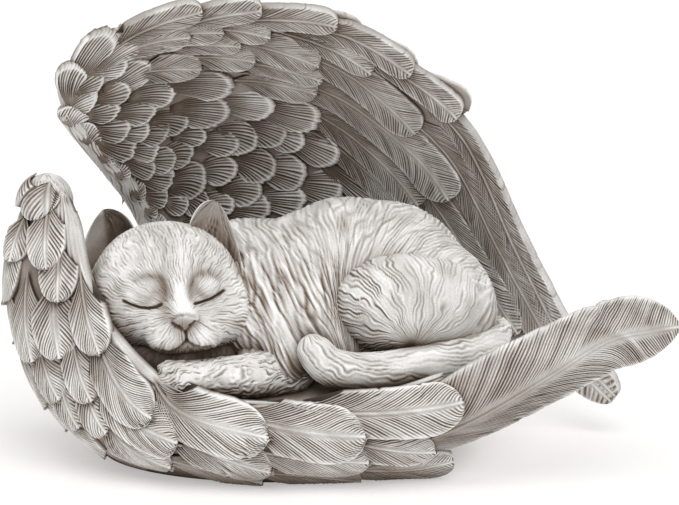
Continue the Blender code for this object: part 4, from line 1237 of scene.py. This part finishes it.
def forelegField(p):
    # leg and toes, running into the trunk just under its surface
    d = joined(roll(p, foreleg["path"], foreleg["radii"]), p, foreleg["toes"])
    return merged(d, trunkField(p) + 1.7, 2.0)


def forelegSkin():
    # rings round the leg, from the toes back; its long fur stands in short clumps
    turn, v = roundGrid(foreleg["rows"], foreleg["columns"])
    phi = 2 * math.pi * turn
    points = raySkin(forelegField, foreleg["middle"], foreleg["ahead"], 26, (0, -1, 0), v, phi, 11.5)
    normals = fieldNormals(forelegField, points)
    bent = bending(points, 1.1, 1.6, 41)
    beat = foreleg["strokes"] * turn + bent + 0.25 * points[..., 0]
    groove, ridge = locks(beat, 26 * v, 2.6, 42)
    skin = points + normals * (0.40 * ridge - 0.50 * groove)[..., None]
    # painted shade, darker where the leg faces down
    below = 0.22 * eased(-normals[..., 2], 0.1, 0.9)
    return skin, np.clip(0.19 + 0.42 * groove - 0.20 * ridge + below, 0, 1)


def chestSkin():
    # fur of the chest in the shade under the chin, and of the breast behind the leg
    def field(p):
        return ball(p, chest["middle"], chest["radii"])

    turn, v = roundGrid(chest["rows"], chest["columns"])
    points = raySkin(field, chest["middle"], (0, 0, -1), 0, (0, -1, 0), v, 2 * math.pi * turn)
    groove, ridge = locks(chest["strokes"] * turn + bending(points, 2.0, 1.0, 43), 14 * v, 4, 45)
    skin = points + fieldNormals(field, points) * (0.15 * ridge - 0.3 * groove)[..., None]
    # the chest's high wash is painted shade under the chin
    return skin, np.clip(0.52 + 0.16 * groove - 0.10 * ridge + 0.10 * speckle(points / 7, 45), 0, 1)


def makeLimbs():
    pieceFrom("catTail", [tailSkin()])
    pieceFrom("catForeleg", [forelegSkin(), chestSkin()])


nest = {
    # height, middle x, middle y, half length, half depth
    "levels": ((0, -19, 0, 10, 6), (0, -19, 0, 30, 20), (0, -19, 0, 50.5, 33), (0.8, -19, 0, 51.5, 34),
               (7, -18, -1, 58, 40), (15, -15, -1, 60, 42), (22, -14, 0, 59, 41), (24.5, -14, 2, 50, 34),
               (24.7, -14, 2, 20, 14)),
    "rows": 34,
    "columns": 150,
    "ledgeFrom": 0.30,  # s along the front wing
    "ledgeTo": 0.73,
    "ledgeWall": 7.0,
}


def ledgeSkin():
    # smooth filling between the cat and the inside of the front wing's rim: a sagging strip, and the same
    # strip again lower down
    s = np.linspace(nest["ledgeFrom"], nest["ledgeTo"], 90)[:, None]
    rim, normals = withNormals(frontFace, s, 1 + 0 * s)
    rim = rim - normals * 2.0 + np.array((0, 0, -1.2))
    aside = np.array((-4.0, 3.0, 0)) * eased(s, 0.5, 0.8)[..., None]
    inner = rim + np.array((0, 17.0, 2.5)) + aside
    q = np.concatenate([np.linspace(0, 1, 12), np.linspace(1, 0, 12)])[None, :, None]
    low = np.concatenate([np.zeros(12), np.full(12, nest["ledgeWall"])])[None, :]
    points = rim + (inner - rim) * q
    rough = speckle(points / np.array((6.0, 3.0, 3.0)), 53)
    points[..., 2] += 0.4 * rough - low - 1.6 * np.sin(math.pi * q[..., 0])
    # darkened as painted shade in the recess behind the rim
    return points, np.clip(0.50 + 0.20 * rough, 0, 1)


def makeNest():
    # ellipses at rising levels, smooth between them and roughened on the outside
    levels = np.array(nest["levels"], float)
    row = splineWeights(len(levels), np.linspace(0, 1, nest["rows"])) @ levels
    row[:, 0] = np.maximum(row[:, 0], 0)
    angle = np.linspace(0, 2 * math.pi, nest["columns"], endpoint=False)
    x = row[:, 1:2] + row[:, 3:4] * np.cos(angle)
    y = row[:, 2:3] + row[:, 4:5] * np.sin(angle)
    z = row[:, 0:1] + 0 * angle
    points = np.stack([x, y, z], -1)
    rough = speckle(points / np.array((9.0, 9.0, 2.2)), 51)
    out = np.stack([np.cos(angle), np.sin(angle), 0 * angle], -1)[None]
    points = points + out * (0.5 * rough * (z > 0.5))[..., None]
    pieceFrom("nest", [(points, np.clip(0.46 + 0.25 * rough, 0, 1)), ledgeSkin()])


studio = {
    "floorReach": 3.0,
    "floorBelow": 0.0002,
    "floorColour": (0.62, 0.61, 0.61, 1),
    "floorGlow": (1.0, 0.985, 0.975, 1),
    "floorGlowStrength": 0.40,
    "skyStrength": 0.52,
    "sunStrength": 1.9,
    "sunSpread": 55,  # degrees, so that its shadows are soft
    "sunTilt": (24, 6, 0),
}


def makeFloor():
    reach = studio["floorReach"]
    corners = [(-reach, -reach, 0), (reach, -reach, 0), (reach, reach, 0), (-reach, reach, 0)]
    mesh = bpy.data.meshes.new("floor")
    mesh.from_pydata(corners, [], [(0, 1, 2, 3)])
    stage = bpy.data.objects.new("floor", mesh)
    stage.location = (0, 0, -studio["floorBelow"])
    bpy.context.scene.collection.objects.link(stage)
    paper = bpy.data.materials.new("paleFloor")
    paper.use_nodes = True
    shader = paper.node_tree.nodes["Principled BSDF"]
    shader.inputs["Base Color"].default_value = studio["floorColour"]
    shader.inputs["Emission Color"].default_value = studio["floorGlow"]
    shader.inputs["Emission Strength"].default_value = studio["floorGlowStrength"]
    shader.inputs["Roughness"].default_value = 0.9
    mesh.materials.append(paper)


def makeLight():
    world = bpy.data.worlds.new("studio")
    world.use_nodes = True
    sky = world.node_tree.nodes["Background"]
    sky.inputs["Color"].default_value = (1, 1, 1, 1)
    sky.inputs["Strength"].default_value = studio["skyStrength"]
    bpy.context.scene.world = world
    sun = bpy.data.lights.new("overhead", "SUN")
    sun.energy = studio["sunStrength"]
    sun.angle = math.radians(studio["sunSpread"])
    lamp = bpy.data.objects.new("overhead", sun)
    lamp.rotation_euler = [math.radians(turn) for turn in studio["sunTilt"]]
    bpy.context.scene.collection.objects.link(lamp)
    bpy.context.scene.view_settings.view_transform = "Standard"


def makeCamera():
    # at the photograph's viewing angle, level from side to side
    data = bpy.data.cameras.new("camera")
    data.sensor_width = 36
    data.lens = view["lens"]
    camera = bpy.data.objects.new("camera", data)
    ahead = Vector((0, math.cos(view["elevation"]), -math.sin(view["elevation"])))
    camera.location = Vector(view["target"]) - ahead * view["distance"]
    camera.rotation_euler = ahead.to_track_quat("-Z", "Y").to_euler()
    bpy.context.scene.collection.objects.link(camera)
    bpy.context.scene.camera = camera


print("studio")
makeFloor()
makeLight()
makeCamera()
print("wings")
makeWings()
print("cat")
makeHead()
makeEars()
makeBody()
makeThigh()
makeLimbs()
print("nest")
makeNest()
for piece in pieces:
    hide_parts(node)
